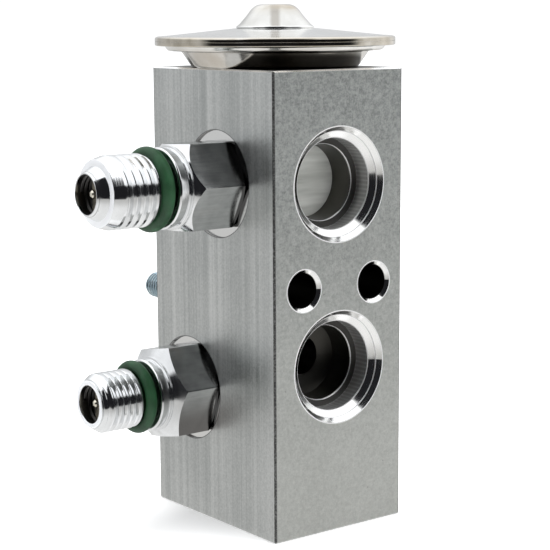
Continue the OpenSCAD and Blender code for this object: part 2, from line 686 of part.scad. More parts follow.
// Packing under the suction way: O-ring on the rod, held down by a pressed ring
module rod_o_ring() {
    section_r = (packing_r - rod_r) / 2 - run_gap;
    color([0.1, 0.1, 0.1]) translate([0, 0, packing_floor_z + section_r + rest_gap])
        ring((packing_r + rod_r) / 2, section_r);
}
module rod_retainer() {
    foot_z = packing_floor_z + packing_r - rod_r + 0.2;
    color([0.8, 0.7, 0.45]) sleeve(packing_r - rest_gap, rod_r + 2 * run_gap, foot_z, foot_z + retainer_t);
}

module push_pin() {
    foot_z = ball_z + ball_r + rest_gap;
    color([0.78, 0.79, 0.8]) rotate_extrude() polygon([[0, foot_z], [push_r - 0.3, foot_z],
        [push_r, foot_z + 0.3], [push_r, rod_foot_z], [0, rod_foot_z]]);
}

module valve_ball() {
    color([0.8, 0.81, 0.83]) translate([0, 0, ball_z]) sphere(r = ball_r);
}

// Flanged carrier under the ball, with a spigot inside the spring
module ball_carrier() {
    color([0.8, 0.7, 0.45]) difference() {
        rotate_extrude() polygon([[0, spring_top_z - spigot_l], [spigot_r - 0.3, spring_top_z - spigot_l],
            [spigot_r, spring_top_z - spigot_l + 0.3], [spigot_r, spring_top_z], [carrier_r, spring_top_z],
            [carrier_r, carrier_top_z - 0.4], [carrier_r - 0.4, carrier_top_z], [0, carrier_top_z]]);
        translate([0, 0, ball_z]) sphere(r = ball_r + rest_gap);
    }
}

module superheat_spring() {
    color([0.55, 0.57, 0.6]) translate([0, 0, spring_foot_z + rest_gap])
        coil(spring_r, spring_wire, spring_l - 2 * rest_gap, 6, 20, 8);
}

// Hollow hexagon adjusting screw with a groove for its O-ring and a spigot inside the spring
module adjusting_screw() {
    groove_r = adjuster_r - 2 * adjuster_ring_t + 0.1;
    groove_z = adjuster_ring_z - adjuster_groove_h / 2;
    color([0.8, 0.7, 0.45]) difference() {
        rotate_extrude() polygon([[0, adjuster_foot_z], [adjuster_r - 0.5, adjuster_foot_z],
            [adjuster_r, adjuster_foot_z + 0.5], [adjuster_r, groove_z], [groove_r, groove_z],
            [groove_r, groove_z + adjuster_groove_h], [adjuster_r, groove_z + adjuster_groove_h],
            [adjuster_r, spring_foot_z], [spigot_r, spring_foot_z],
            [spigot_r, spring_foot_z + spigot_l - 0.3], [spigot_r - 0.3, spring_foot_z + spigot_l],
            [0, spring_foot_z + spigot_l]]);
        translate([0, 0, adjuster_foot_z - over])
            cylinder(r = socket_hex / sqrt(3), h = socket_depth + over, $fn = 6);
    }
}

module adjuster_o_ring() {
    inner_r = adjuster_r - 2 * adjuster_ring_t + 0.1 + run_gap;
    section_r = (adjuster_r - inner_r) / 2;
    color([0.1, 0.1, 0.1]) translate([0, 0, adjuster_ring_z]) ring(inner_r + section_r, section_r);
}

valve_block();
mounting_stud();
suction_fitting();
suction_o_ring();
suction_shank_seal();
suction_core_barrel();
suction_core_gasket();
suction_core_pin();
suction_plunger_seal();
suction_core_spring();
liquid_fitting();
liquid_o_ring();
liquid_shank_seal();
liquid_core_barrel();
liquid_core_gasket();
liquid_core_pin();
liquid_plunger_seal();
liquid_core_spring();
head_base();
head_cap();
charge_dome();
diaphragm();
head_o_ring();
diaphragm_pad();
sensing_rod();
rod_o_ring();
rod_retainer();
push_pin();
valve_ball();
ball_carrier();
superheat_spring();
adjusting_screw();
adjuster_o_ring();
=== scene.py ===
# Expansion valve: finishes, cut threads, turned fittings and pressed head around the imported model
import json
import math

import bpy
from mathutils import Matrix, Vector


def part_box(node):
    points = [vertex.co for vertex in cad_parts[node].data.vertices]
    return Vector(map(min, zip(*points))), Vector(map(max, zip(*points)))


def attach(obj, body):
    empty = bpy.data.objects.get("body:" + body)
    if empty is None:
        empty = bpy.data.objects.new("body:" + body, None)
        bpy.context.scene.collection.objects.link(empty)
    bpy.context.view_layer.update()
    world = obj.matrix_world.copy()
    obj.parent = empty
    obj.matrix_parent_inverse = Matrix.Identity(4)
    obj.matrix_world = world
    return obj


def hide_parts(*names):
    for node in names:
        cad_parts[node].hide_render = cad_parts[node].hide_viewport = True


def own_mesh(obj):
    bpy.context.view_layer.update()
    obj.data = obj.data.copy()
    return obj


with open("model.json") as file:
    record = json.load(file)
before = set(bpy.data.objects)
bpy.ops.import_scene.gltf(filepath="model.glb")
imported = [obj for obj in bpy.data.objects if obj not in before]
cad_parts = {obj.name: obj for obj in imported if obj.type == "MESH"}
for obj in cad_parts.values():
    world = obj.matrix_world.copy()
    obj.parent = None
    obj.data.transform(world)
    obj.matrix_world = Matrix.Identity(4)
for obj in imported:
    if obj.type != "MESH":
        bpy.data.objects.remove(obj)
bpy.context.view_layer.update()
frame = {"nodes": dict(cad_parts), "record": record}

MM = 0.001
TURNED_SIDES = 128
SMOOTH_ANGLE = math.radians(34)

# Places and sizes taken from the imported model
MOUNTS = {m["name"]: m for m in frame["record"]["mounts"]}


def mount_place(name):
    return Vector(MOUNTS[name]["pos_m"])


def mount_radius(name):
    return MOUNTS[name]["dims"]["r_mm"]


BLOCK_LOW, BLOCK_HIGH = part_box("valve_block")
SUCTION_AXIS = mount_place("suction_thread")
LIQUID_AXIS = mount_place("liquid_thread")
UPPER_PORT = mount_place("suction_port")
LOWER_PORT = mount_place("outlet_port")
STUD_AXIS = mount_place("stud")

# The block's faces and the fittings' reach out of its left face, in millimetres
BLOCK_LEFT, BLOCK_FRONT, BLOCK_FOOT = BLOCK_LOW / MM
BLOCK_RIGHT, BLOCK_BACK, BLOCK_TOP = BLOCK_HIGH / MM
SUCTION_TIP = (BLOCK_LOW.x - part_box("suction_fitting")[0].x) / MM
LIQUID_TIP = (BLOCK_LOW.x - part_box("liquid_fitting")[0].x) / MM

# Sizes shared by both fittings, in millimetres
SPOT_DEPTH = 0.45
RECESS_R = 9.3
SHANK_R = 5.6
SHANK_L = 6.2
MOUTH_R = 3.3
PASSAGE_R = 2.7
GASKET_DEPTH = 6.4
GASKET_L = 0.8
SUCTION_HEX_L = 8.05
LIQUID_HEX_L = 6.55
EDGE_BREAK = 0.12
HEX_HOLE_R = 4.2
WASHER_STEP = 0.2
SUCTION_CONE_ANGLE = 50
LIQUID_CONE_ANGLE = 30
NOSE_STEP = 24.22
NOSE_STEP_R = 5.65
NOSE_FOOT_R = 4.5
LIQUID_RIM_R = 4.15

# Sizes of the holes in the port face, in millimetres
PORT_MOUTH_R = 9.8
PORT_LIP_R = 9.03
PORT_SEAL_R = 7.85
PORT_SEAL_START = 1.78
PORT_SEAL_END = 4.7
PORT_BORE_R = 6.5
PORT_FLOOR = 9.8
PORT_REACH = 30
BOLT_MOUTH_R = 3.61
BOLT_HOLE_R = 3.05
BOLT_BEVEL = 0.5

# Sizes of the head, in millimetres, and how far round the dome's painted reflection streak lies, in degrees
RIM_R = 21.05
FLANGE_JOINT = 84.5
CAP_JOINT = 84.7
DOME_FOOT = 86.7
DOME_TOP = 90.8
STREAK_AZIMUTH = 37.6

# The springs' wire, in millimetres, their turns and how far they shorten, in millimetres
CORE_WIRE, CORE_TURNS, CORE_TRAVEL = 0.32, 7, 1.2
SUPERHEAT_WIRE, SUPERHEAT_TURNS, SUPERHEAT_TRAVEL = 1.1, 6, 0.8

# The directions across an axis along X, Y or Z
ACROSS_X, ACROSS_Y, ACROSS_Z = (0, 1, 1), (1, 0, 1), (1, 1, 0)


# Nodes of a material

def new_material(name):
    material = bpy.data.materials.new(name)
    material.use_nodes = True
    tree = material.node_tree
    tree.nodes.clear()
    surface = tree.nodes.new("ShaderNodeBsdfPrincipled")
    output = tree.nodes.new("ShaderNodeOutputMaterial")
    tree.links.new(surface.outputs["BSDF"], output.inputs["Surface"])
    place = tree.nodes.new("ShaderNodeTexCoord").outputs["Object"]
    return material, tree, surface, place


def feed(tree, node, **inputs):
    """Fills inputs, each given by its name, or by i and its number, with a value or another node's socket."""
    for key, value in inputs.items():
        socket = node.inputs[int(key[1:]) if key[1:].isdigit() else key.replace("_", " ")]
        if isinstance(value, bpy.types.NodeSocket):
            tree.links.new(value, socket)
        else:
            socket.default_value = value
    return node


def add_node(tree, kind, settings=None, **inputs):
    node = tree.nodes.new(kind)
    for key, value in (settings or {}).items():
        setattr(node, key, value)
    return feed(tree, node, **inputs)


def use_group(tree, group, **inputs):
    return add_node(tree, "ShaderNodeGroup", {"node_tree": group}, **inputs)


def math_node(tree, operation, first, *others):
    """An operation on one value, or one that joins several values in turn."""
    for other in others or (0.0,):
        first = add_node(tree, "ShaderNodeMath", {"operation": operation}, i0=first, i1=other).outputs[0]
    return first


def product(tree, *masks):
    return math_node(tree, "MULTIPLY", *masks)


def vector_node(tree, operation, a, b=(0, 0, 0), out=0):
    return add_node(tree, "ShaderNodeVectorMath", {"operation": operation}, i0=a, i1=b).outputs[out]


def ramp(tree, value, low, high, to_low=0.0, to_high=1.0):
    """Eases from one end value to the other while the value goes from low to high."""
    return add_node(tree, "ShaderNodeMapRange", {"interpolation_type": "SMOOTHSTEP"}, i0=value, i1=low,
                    i2=high, i3=to_low, i4=to_high).outputs[0]


def band(tree, value, start, full, still_full, end):
    """1 between two values, with an eased edge at either side."""
    return product(tree, ramp(tree, value, start, full), ramp(tree, value, end, still_full))


def within(tree, away, radius):
    """1 inside a radius."""
    return ramp(tree, away, radius * 1.004, radius * 0.996)


def mix_colour(tree, factor, a, b, most=1.0):
    if most < 1.0:
        factor = product(tree, factor, most)
    return add_node(tree, "ShaderNodeMix", {"data_type": "RGBA"}, i0=factor, i6=a, i7=b).outputs[2]


def mix_value(tree, factor, a, b):
    return add_node(tree, "ShaderNodeMix", {"data_type": "FLOAT"}, i0=factor, i2=a, i3=b).outputs[0]


def painted(tree, base, *layers):
    """A colour with layers over it: each is a mask, a colour and, where it is thin, how much of it shows."""
    for mask, colour, *most in layers:
        base = mix_colour(tree, mask, base, colour, *most)
    return base


def layered(tree, base, *layers):
    """A value with other values laid over it, each by its mask."""
    for mask, value in layers:
        base = mix_value(tree, mask, base, value)
    return base


def axes_of(tree, vector, unit=MM):
    """The three coordinates of a vector, as a rule in millimetres."""
    scaled = vector_node(tree, "DIVIDE", vector, (unit, unit, unit))
    return tuple(add_node(tree, "ShaderNodeSeparateXYZ", Vector=scaled).outputs)


def away_from(tree, place, centre, across):
    """Distance in millimetres from an axis through the centre."""
    offset = vector_node(tree, "SUBTRACT", place, tuple(centre))
    return vector_node(tree, "LENGTH", vector_node(tree, "MULTIPLY", offset, Vector(across) / MM), out=1)


def noise(tree, vector, scale, detail=2.0, rough=0.5):
    """Noise of one scale, or stretched by a scale for each of X, Y and Z."""
    if isinstance(scale, tuple):
        vector = vector_node(tree, "MULTIPLY", vector, scale)
        scale = 1.0
    return add_node(tree, "ShaderNodeTexNoise", Vector=vector, Scale=scale, Detail=detail,
                    Roughness=rough).outputs[0]


def weighted(tree, *pairs):
    """Sum of the values, each centred on zero and times its weight."""
    total = -0.5 * sum(weight for _, weight in pairs)
    return math_node(tree, "ADD", total, *(product(tree, value, weight) for value, weight in pairs))


def new_group(name, inputs, outputs):
    """An empty shader group with float inputs and outputs, and a vector input named Place."""
    tree = bpy.data.node_groups.new(name, "ShaderNodeTree")
    tree.interface.new_socket(name="Place", in_out="INPUT", socket_type="NodeSocketVector")
    for key, value in inputs.items():
        socket = tree.interface.new_socket(name=key, in_out="INPUT", socket_type="NodeSocketFloat")
        socket.default_value = value
    for key in outputs:
        tree.interface.new_socket(name=key, in_out="OUTPUT", socket_type="NodeSocketFloat")
    return tree, tree.nodes.new("NodeGroupInput").outputs, tree.nodes.new("NodeGroupOutput")


# Effects that several finishes share

def make_lathe_marks():
    """Fine rings left by turning: noise that changes along an axis and away from it, but not around it."""
    tree, start, end = new_group("lathe_marks", {"Rings per mm": 6.0, "Waver": 0.15}, ["Rings", "Broad"])
    rate = start["Rings per mm"]
    along = product(tree, axes_of(tree, start["Place"])[0], rate)
    out = product(tree, away_from(tree, start["Place"], (0, 0, 0), ACROSS_X), rate)
    waver = product(tree, noise(tree, start["Place"], 220.0), start["Waver"])
    along = math_node(tree, "ADD", along, waver)
    ring_place = add_node(tree, "ShaderNodeCombineXYZ", X=along, Y=out).outputs[0]
    feed(tree, end, Rings=noise(tree, ring_place, 1.0, 3.0), Broad=noise(tree, ring_place, 0.12, 1.0))
    return tree


def make_extrusion_lines():
    """Faint straight lines along Z, as drawn through a die, with a softer cloudy unevenness."""
    tree, start, end = new_group("extrusion_lines", {"Lines per mm": 4.0}, ["Lines", "Clouds"])
    rate = product(tree, start["Lines per mm"], 1 / MM)
    stretch = add_node(tree, "ShaderNodeCombineXYZ", X=rate, Y=rate, Z=14.0)
    place = vector_node(tree, "MULTIPLY", start["Place"], stretch.outputs[0])
    clouds = noise(tree, start["Place"], 55.0, 3.0, 0.55)
    feed(tree, end, Lines=noise(tree, place, 1.0, 3.0, 0.6), Clouds=clouds)
    return tree


def make_specks():
    """Small round pits or specks, scattered, with a mask of 1 inside each."""
    tree, start, end = new_group("specks", {"Per mm": 0.6, "Size": 0.12, "Share": 0.3}, ["Mask"])
    rate = product(tree, start["Per mm"], 1 / MM)
    cells = add_node(tree, "ShaderNodeTexVoronoi", Vector=start["Place"], Scale=rate).outputs
    near = add_node(tree, "ShaderNodeMapRange", i0=cells["Distance"], i1=start["Size"], i2=0.0).outputs[0]
    pick = add_node(tree, "ShaderNodeSeparateColor", Color=cells["Color"]).outputs[0]
    feed(tree, end, Mask=product(tree, near, math_node(tree, "LESS_THAN", pick, start["Share"])))
    return tree


LATHE_MARKS = make_lathe_marks()
EXTRUSION_LINES = make_extrusion_lines()
SPECKS = make_specks()


def specks(tree, place, per_mm, size, share):
    return use_group(tree, SPECKS, Place=place, Per_mm=per_mm, Size=size, Share=share).outputs["Mask"]


def dress_surface(tree, surface, colour, metal, rough, height, strength, depth):
    """Feeds the surface, with a bump of the given height, strength and depth in millimetres."""
    bump = add_node(tree, "ShaderNodeBump", Height=height, Strength=strength, Distance=depth * MM)
    feed(tree, surface, Base_Color=colour, Metallic=metal, Roughness=rough, Normal=bump.outputs["Normal"])


# Finishes

def block_finish():
    """Satin extruded aluminium outside, bright turned metal inside the ports, holes and recesses, with
    painted shade in the bores, on the seal walls and on the top under the head, and painted highlights on
    edges.
    """
    material, tree, surface, place = new_material("satin_block_aluminium")
    x, y, z = axes_of(tree, place)
    depth = math_node(tree, "SUBTRACT", y, BLOCK_FRONT)
    lines, clouds = use_group(tree, EXTRUSION_LINES, Place=place, Lines_per_mm=3.0).outputs
    pits = specks(tree, place, 0.5, 0.09, 0.3)
    dust = specks(tree, place, 1.4, 0.14, 0.2)
    grain = noise(tree, place, 2600.0, 2.0, 0.6)
    sparkle = noise(tree, place, 1500.0, 3.0, 0.75)
    facing = axes_of(tree, add_node(tree, "ShaderNodeNewGeometry").outputs["Normal"], 1.0)
    milled = ramp(tree, math_node(tree, "ABSOLUTE", facing[1]), 0.6, 0.9)
    # Tone of the drawn faces: lines, clouds and grain; of the milled ones: grain and sparkle
    bands = noise(tree, place, (650.0, 650.0, 7.0))
    drawn_tone = weighted(tree, (lines, 0.4), (clouds, 0.4), (grain, 0.5), (bands, 0.7))
    milled_tone = weighted(tree, (clouds, 0.3), (sparkle, 1.0), (grain, 0.5))
    tone = mix_value(tree, milled, drawn_tone, milled_tone)
    drawn_base = painted(tree, (0.38, 0.395, 0.39, 1), (ramp(tree, tone, -0.35, 0.35), (0.68, 0.69, 0.68, 1)))
    # Painted light: the milled faces lighten towards the foot
    milled_base = painted(tree, (0.22, 0.235, 0.23, 1), (ramp(tree, tone, -0.4, 0.4), (0.55, 0.565, 0.55, 1)),
                          (ramp(tree, z, BLOCK_TOP, BLOCK_FOOT), (0.84, 0.84, 0.79, 1), 0.4))
    gap_shade, bevel_highlight, dark_corner_line = outside_masks(tree, place, x, y, z, grain)
    recess, recess_line = recess_masks(tree, place, x)
    turned, hole_shade, lip_highlights, distances = hole_masks(tree, place, depth)
    seal_wall_shade, edge_highlights, port_floor = port_masks(tree, distances[0], distances[1], depth)
    turned = math_node(tree, "MAXIMUM", turned, recess)
    floor_tone = ramp(tree, noise(tree, place, (60.0, 60.0, 420.0), 3.0), 0.3, 0.75)
    floor_base = mix_colour(tree, floor_tone, (0.42, 0.43, 0.40, 1), (0.74, 0.75, 0.71, 1))
    base = painted(tree, drawn_base,
                   (milled, milled_base),
                   (pits, (0.16, 0.16, 0.16, 1), 0.75),
                   (dust, (0.86, 0.84, 0.8, 1), 0.4),
                   # painted shade on the top face under the head
                   (gap_shade, (0.05, 0.05, 0.05, 1)),
                   # painted highlight on the top's bevel
                   (bevel_highlight, (0.95, 0.95, 0.95, 1)),
                   (dark_corner_line, (0.12, 0.12, 0.12, 1)),
                   (turned, (0.88, 0.88, 0.87, 1)),
                   (recess, (0.74, 0.74, 0.73, 1)),
                   # painted shade on the counterbores' walls
                   (seal_wall_shade, (0.11, 0.108, 0.102, 1)),
                   # painted shade inside the bores
                   (hole_shade, (0.1, 0.097, 0.088, 1)),
                   # painted highlights on the ports' step edges
                   (edge_highlights, (1, 1, 1, 1)),
                   (port_floor, floor_base),
                   # painted highlight round the mouths' edges
                   (lip_highlights, (1, 1, 1, 1)),
                   (recess_line, (0.1, 0.1, 0.1, 1), 0.8))
    # The port's matt floor and the milled faces scatter more light than a polished metal
    metal = layered(tree, 1.0, (milled, 0.85), (turned, 1.0), (port_floor, 0.3))
    # Turning marks round whichever hole is nearer
    nearest = math_node(tree, "MINIMUM", *distances)
    rings = noise(tree, add_node(tree, "ShaderNodeCombineXYZ", X=nearest, Y=y).outputs[0], 3.0)
    rough = layered(tree, ramp(tree, tone, -0.4, 0.4, 0.31, 0.43),
                    (milled, ramp(tree, tone, -0.4, 0.4, 0.54, 0.68)),
                    (bevel_highlight, 0.22),
                    (turned, ramp(tree, rings, 0.2, 0.8, 0.06, 0.16)),
                    (hole_shade, 0.34),
                    (seal_wall_shade, 0.5),
                    (edge_highlights, 0.6),
                    (port_floor, 0.5))
    drawn = weighted(tree, (lines, 1.0), (grain, 0.8), (pits, -3.0))
    height = mix_value(tree, turned, drawn, product(tree, rings, 0.3))
    dress_surface(tree, surface, base, metal, rough, height, 0.6, 0.02)
    return material


def outside_masks(tree, place, x, y, z, grain):
    """1 on the top face under the head, for painted shade, on the top's polished bevel, for a painted
    highlight, and on a broken dark line along the upright edges."""
    away = away_from(tree, place, (0, 0, 0), ACROSS_Z)
    on_top = ramp(tree, z, BLOCK_TOP - 0.1, BLOCK_TOP - 0.03)
    # Painted shade on the top face round the head's bowl
    gap_shade = product(tree, ramp(tree, away, 18.6, 16.6), on_top)
    from_x = math_node(tree, "SUBTRACT", BLOCK_RIGHT, math_node(tree, "ABSOLUTE", x))
    from_y = math_node(tree, "SUBTRACT", BLOCK_BACK, math_node(tree, "ABSOLUTE", y))
    # Painted highlight along the top's bevel
    near_top = ramp(tree, z, BLOCK_TOP - 0.32, BLOCK_TOP - 0.22)
    bevel = product(tree, near_top, ramp(tree, math_node(tree, "MINIMUM", from_x, from_y), 0.5, 0.3))
    # A broken dark line along the upright edges
    corner = ramp(tree, math_node(tree, "ADD", from_x, from_y), 0.42, 0.3)
    return gap_shade, bevel, product(tree, corner, ramp(tree, grain, 0.3, 0.6, 0.45, 0.95))


def recess_masks(tree, place, x):
    """1 on the turned floors of the round recesses under the hexagons, and on the thin line round them."""
    depth = math_node(tree, "SUBTRACT", x, BLOCK_LEFT)
    shallow = ramp(tree, depth, 7, 6.5)
    floors, rings = [], []
    for axis in (SUCTION_AXIS, LIQUID_AXIS):
        away = away_from(tree, place, axis, ACROSS_X)
        floors.append(ramp(tree, away, RECESS_R - 0.03, RECESS_R - 0.06))
        rings.append(band(tree, away, RECESS_R - 0.14, RECESS_R - 0.08, RECESS_R + 0.04, RECESS_R + 0.12))
    floor = product(tree, math_node(tree, "MAXIMUM", *floors), ramp(tree, depth, 0.02, 0.05), shallow)
    return floor, product(tree, math_node(tree, "MAXIMUM", *rings), shallow)


def hole_masks(tree, place, depth):
    """Masks of the turned mouths, the painted shade in the bores and the painted highlight on the mouths'
    lips, and the distance from each axis, the two ports' first."""
    bolts = mount_place("clamp_bolts")
    bolt_x = Vector((MOUNTS["clamp_bolts"]["dims"]["spacing_x_mm"] * MM / 2, 0, 0))
    before_back = ramp(tree, depth, PORT_REACH, PORT_REACH - 1)
    past_seal = product(tree, ramp(tree, depth, PORT_SEAL_END, PORT_SEAL_END + 0.1), before_back)
    past_bevel = ramp(tree, depth, BOLT_BEVEL, BOLT_BEVEL + 0.1)
    mouths, bore_shades, lip_highlights, distances = [], [], [], []
    for centre, mouth_r, bore_r, reached, inside in (
            (UPPER_PORT, PORT_MOUTH_R, PORT_BORE_R, before_back, past_seal),
            (LOWER_PORT, PORT_MOUTH_R, PORT_BORE_R, before_back, past_seal),
            (bolts - bolt_x, BOLT_MOUTH_R, BOLT_HOLE_R, 1.0, past_bevel),
            (bolts + bolt_x, BOLT_MOUTH_R, BOLT_HOLE_R, 1.0, past_bevel)):
        away = away_from(tree, place, centre, ACROSS_Y)
        distances.append(away)
        mouths.append(product(tree, within(tree, away, mouth_r), reached))
        # Painted shade inside the bores
        bore_shades.append(product(tree, within(tree, away, bore_r + 0.05), inside))
        # Painted highlight round each mouth's outer edge
        lip_highlights.append(band(tree, away, mouth_r - 0.06, mouth_r, mouth_r + 0.12, mouth_r + 0.24))
    mouth, bore_shade, lip_highlight = (math_node(tree, "MAXIMUM", *masks) for masks in (mouths, bore_shades, lip_highlights))
    return mouth, bore_shade, product(tree, lip_highlight, ramp(tree, depth, 0.2, 0.1)), distances


def port_masks(tree, from_upper, from_lower, depth):
    """1 on the seal counterbores' walls, for painted shade, on the fine broken edges of the ports' steps, for
    painted highlights, and on the upper port's floor."""
    walls, edges = [], []
    for away in (from_upper, from_lower):
        # Painted shade on the counterbores' walls
        walls.append(within(tree, away, PORT_SEAL_R + 0.08))
        # Painted highlights on the broken edges of the ports' steps
        for edge_r in (PORT_LIP_R, PORT_SEAL_R + 0.06, PORT_BORE_R + 0.12):
            off = math_node(tree, "ABSOLUTE", math_node(tree, "SUBTRACT", away, edge_r))
            edges.append(ramp(tree, off, 0.1, 0.05))
    past_cones = ramp(tree, depth, PORT_SEAL_START, PORT_SEAL_START + 0.1)
    before_bore = ramp(tree, depth, PORT_SEAL_END + 0.3, PORT_SEAL_END + 0.2)
    wall = product(tree, math_node(tree, "MAXIMUM", *walls), past_cones, before_bore)
    lines = product(tree, math_node(tree, "MAXIMUM", *edges), before_bore, ramp(tree, depth, 0.3, 0.5))
    floor = product(tree, within(tree, from_upper, PORT_BORE_R - 0.04),
                    band(tree, depth, PORT_FLOOR - 0.02, PORT_FLOOR + 0.02, PORT_REACH - 1, PORT_REACH))
    return wall, lines, floor


def crevice_mask(tree, out, z, axis, start, full):
    """Rises to 1 between two distances out of the left face, where the block shades a fitting; under the axis
    the shade is a third as wide."""
    narrow = ramp(tree, z, axis.z / MM - 1.5, axis.z / MM, 3.0, 1.0)
    return ramp(tree, product(tree, out, narrow), start, full)


def turned_finish(name, axis, tip, colour, rough_low, rough_high, ring_height, end_face):
    """Turned metal about an axis along X, duller inside the bore and darkened there by painted shade,
    darkened by painted shade where it meets the block, and painted white as a highlight on one end face,
    given as its distance out, inner radius and outer radius."""
    material, tree, surface, place = new_material(name)
    x, _, z = axes_of(tree, place)
    out = math_node(tree, "SUBTRACT", BLOCK_LEFT, x)
    away = away_from(tree, place, axis, ACROSS_X)
    centred = vector_node(tree, "SUBTRACT", place, tuple(axis))
    rings, broad = use_group(tree, LATHE_MARKS, Place=centred, Rings_per_mm=5.0, Waver=0.2).outputs
    # Painted shade inside the bore
    bore_shade = product(tree, ramp(tree, away, MOUTH_R + 0.48, MOUTH_R + 0.4),
                   ramp(tree, out, tip - 0.25, tip - 0.6))
    # Painted highlight: the end face is made a diffuse white
    face_out, inner_r, outer_r = end_face
    off_face = math_node(tree, "ABSOLUTE", math_node(tree, "SUBTRACT", out, face_out))
    face = product(tree, ramp(tree, off_face, 0.16, 0.1),
                   band(tree, away, inner_r - 0.05, inner_r, outer_r, outer_r + 0.05))
    dull = tuple(c * 0.8 for c in colour[:3]) + (1,)
    base = painted(tree, colour,
                   (ramp(tree, noise(tree, place, 160.0, 4.0), 0.35, 0.75), dull),
                   (specks(tree, place, 0.7, 0.1, 0.25), (0.2, 0.2, 0.2, 1), 0.5),
                   (crevice_mask(tree, out, z, axis, 0.9, 0.3), (0.06, 0.06, 0.06, 1)),
                   # painted shade inside the bore
                   (bore_shade, (0.16, 0.155, 0.15, 1)),
                   # painted highlight on the end face
                   (face, (0.84, 0.85, 0.87, 1)))
    rough = layered(tree, ramp(tree, broad, 0.25, 0.75, rough_low, rough_high), (face, 0.5), (bore_shade, 0.34))
    dress_surface(tree, surface, base, mix_value(tree, face, 1.0, 0.3), rough, rings, 0.5, ring_height)
    return material


def hexagon_finish(name, axis, shade_start, shade_full, underside_shade):
    """Milled flats: satin, with fine lines along the axis, a faint warm stain, a browner underside darkened
    by painted shade, and painted shade where they meet the block.
    """
    material, tree, surface, place = new_material(name)
    x, _, z = axes_of(tree, place)
    out = math_node(tree, "SUBTRACT", BLOCK_LEFT, x)
    # Painted shade on the underside
    under = ramp(tree, z, axis.z / MM + 2.0, axis.z / MM - 5.0)
    lines = noise(tree, place, (180.0, 2600.0, 2600.0), 3.0, 0.6)
    nicks = specks(tree, place, 0.55, 0.1, 0.2)
    tone = weighted(tree, (lines, 0.5), (noise(tree, place, 420.0, 3.0), 0.6))
    base = painted(tree, (0.44, 0.45, 0.45, 1),
                   (ramp(tree, tone, -0.3, 0.3), (0.66, 0.67, 0.67, 1)),
                   (ramp(tree, noise(tree, place, 150.0, 3.0), 0.55, 0.8, 0.0, 0.5), (0.56, 0.49, 0.46, 1)),
                   (nicks, (0.95, 0.95, 0.95, 1), 0.6),
                   # painted shade on the underside
                   (under, (0.26, 0.245, 0.24, 1), underside_shade),
                   (crevice_mask(tree, out, z, axis, shade_start, shade_full), (0.09, 0.09, 0.09, 1)))
    height = weighted(tree, (lines, 0.5), (nicks, -1.0))
    dress_surface(tree, surface, base, 1.0, ramp(tree, tone, -0.3, 0.3, 0.14, 0.24), height, 0.3, 0.01)
    return material


def rubber_finish(name, colour, shine):
    """Moulded rubber: fine matte grain, faint flow marks and a little dust."""
    material, tree, surface, place = new_material(name)
    grain = noise(tree, place, 9000.0)
    flow = noise(tree, place, 380.0, 3.0)
    light = tuple(min(1.0, c * 1.9 + 0.01) for c in colour[:3]) + (1,)
    base = mix_colour(tree, ramp(tree, flow, 0.3, 0.8, 0.0, 0.7), colour, light)
    rough = ramp(tree, grain, 0.2, 0.8, shine, shine + 0.18)
    dress_surface(tree, surface, base, 0.0, rough, grain, 0.25, 0.008)
    return material


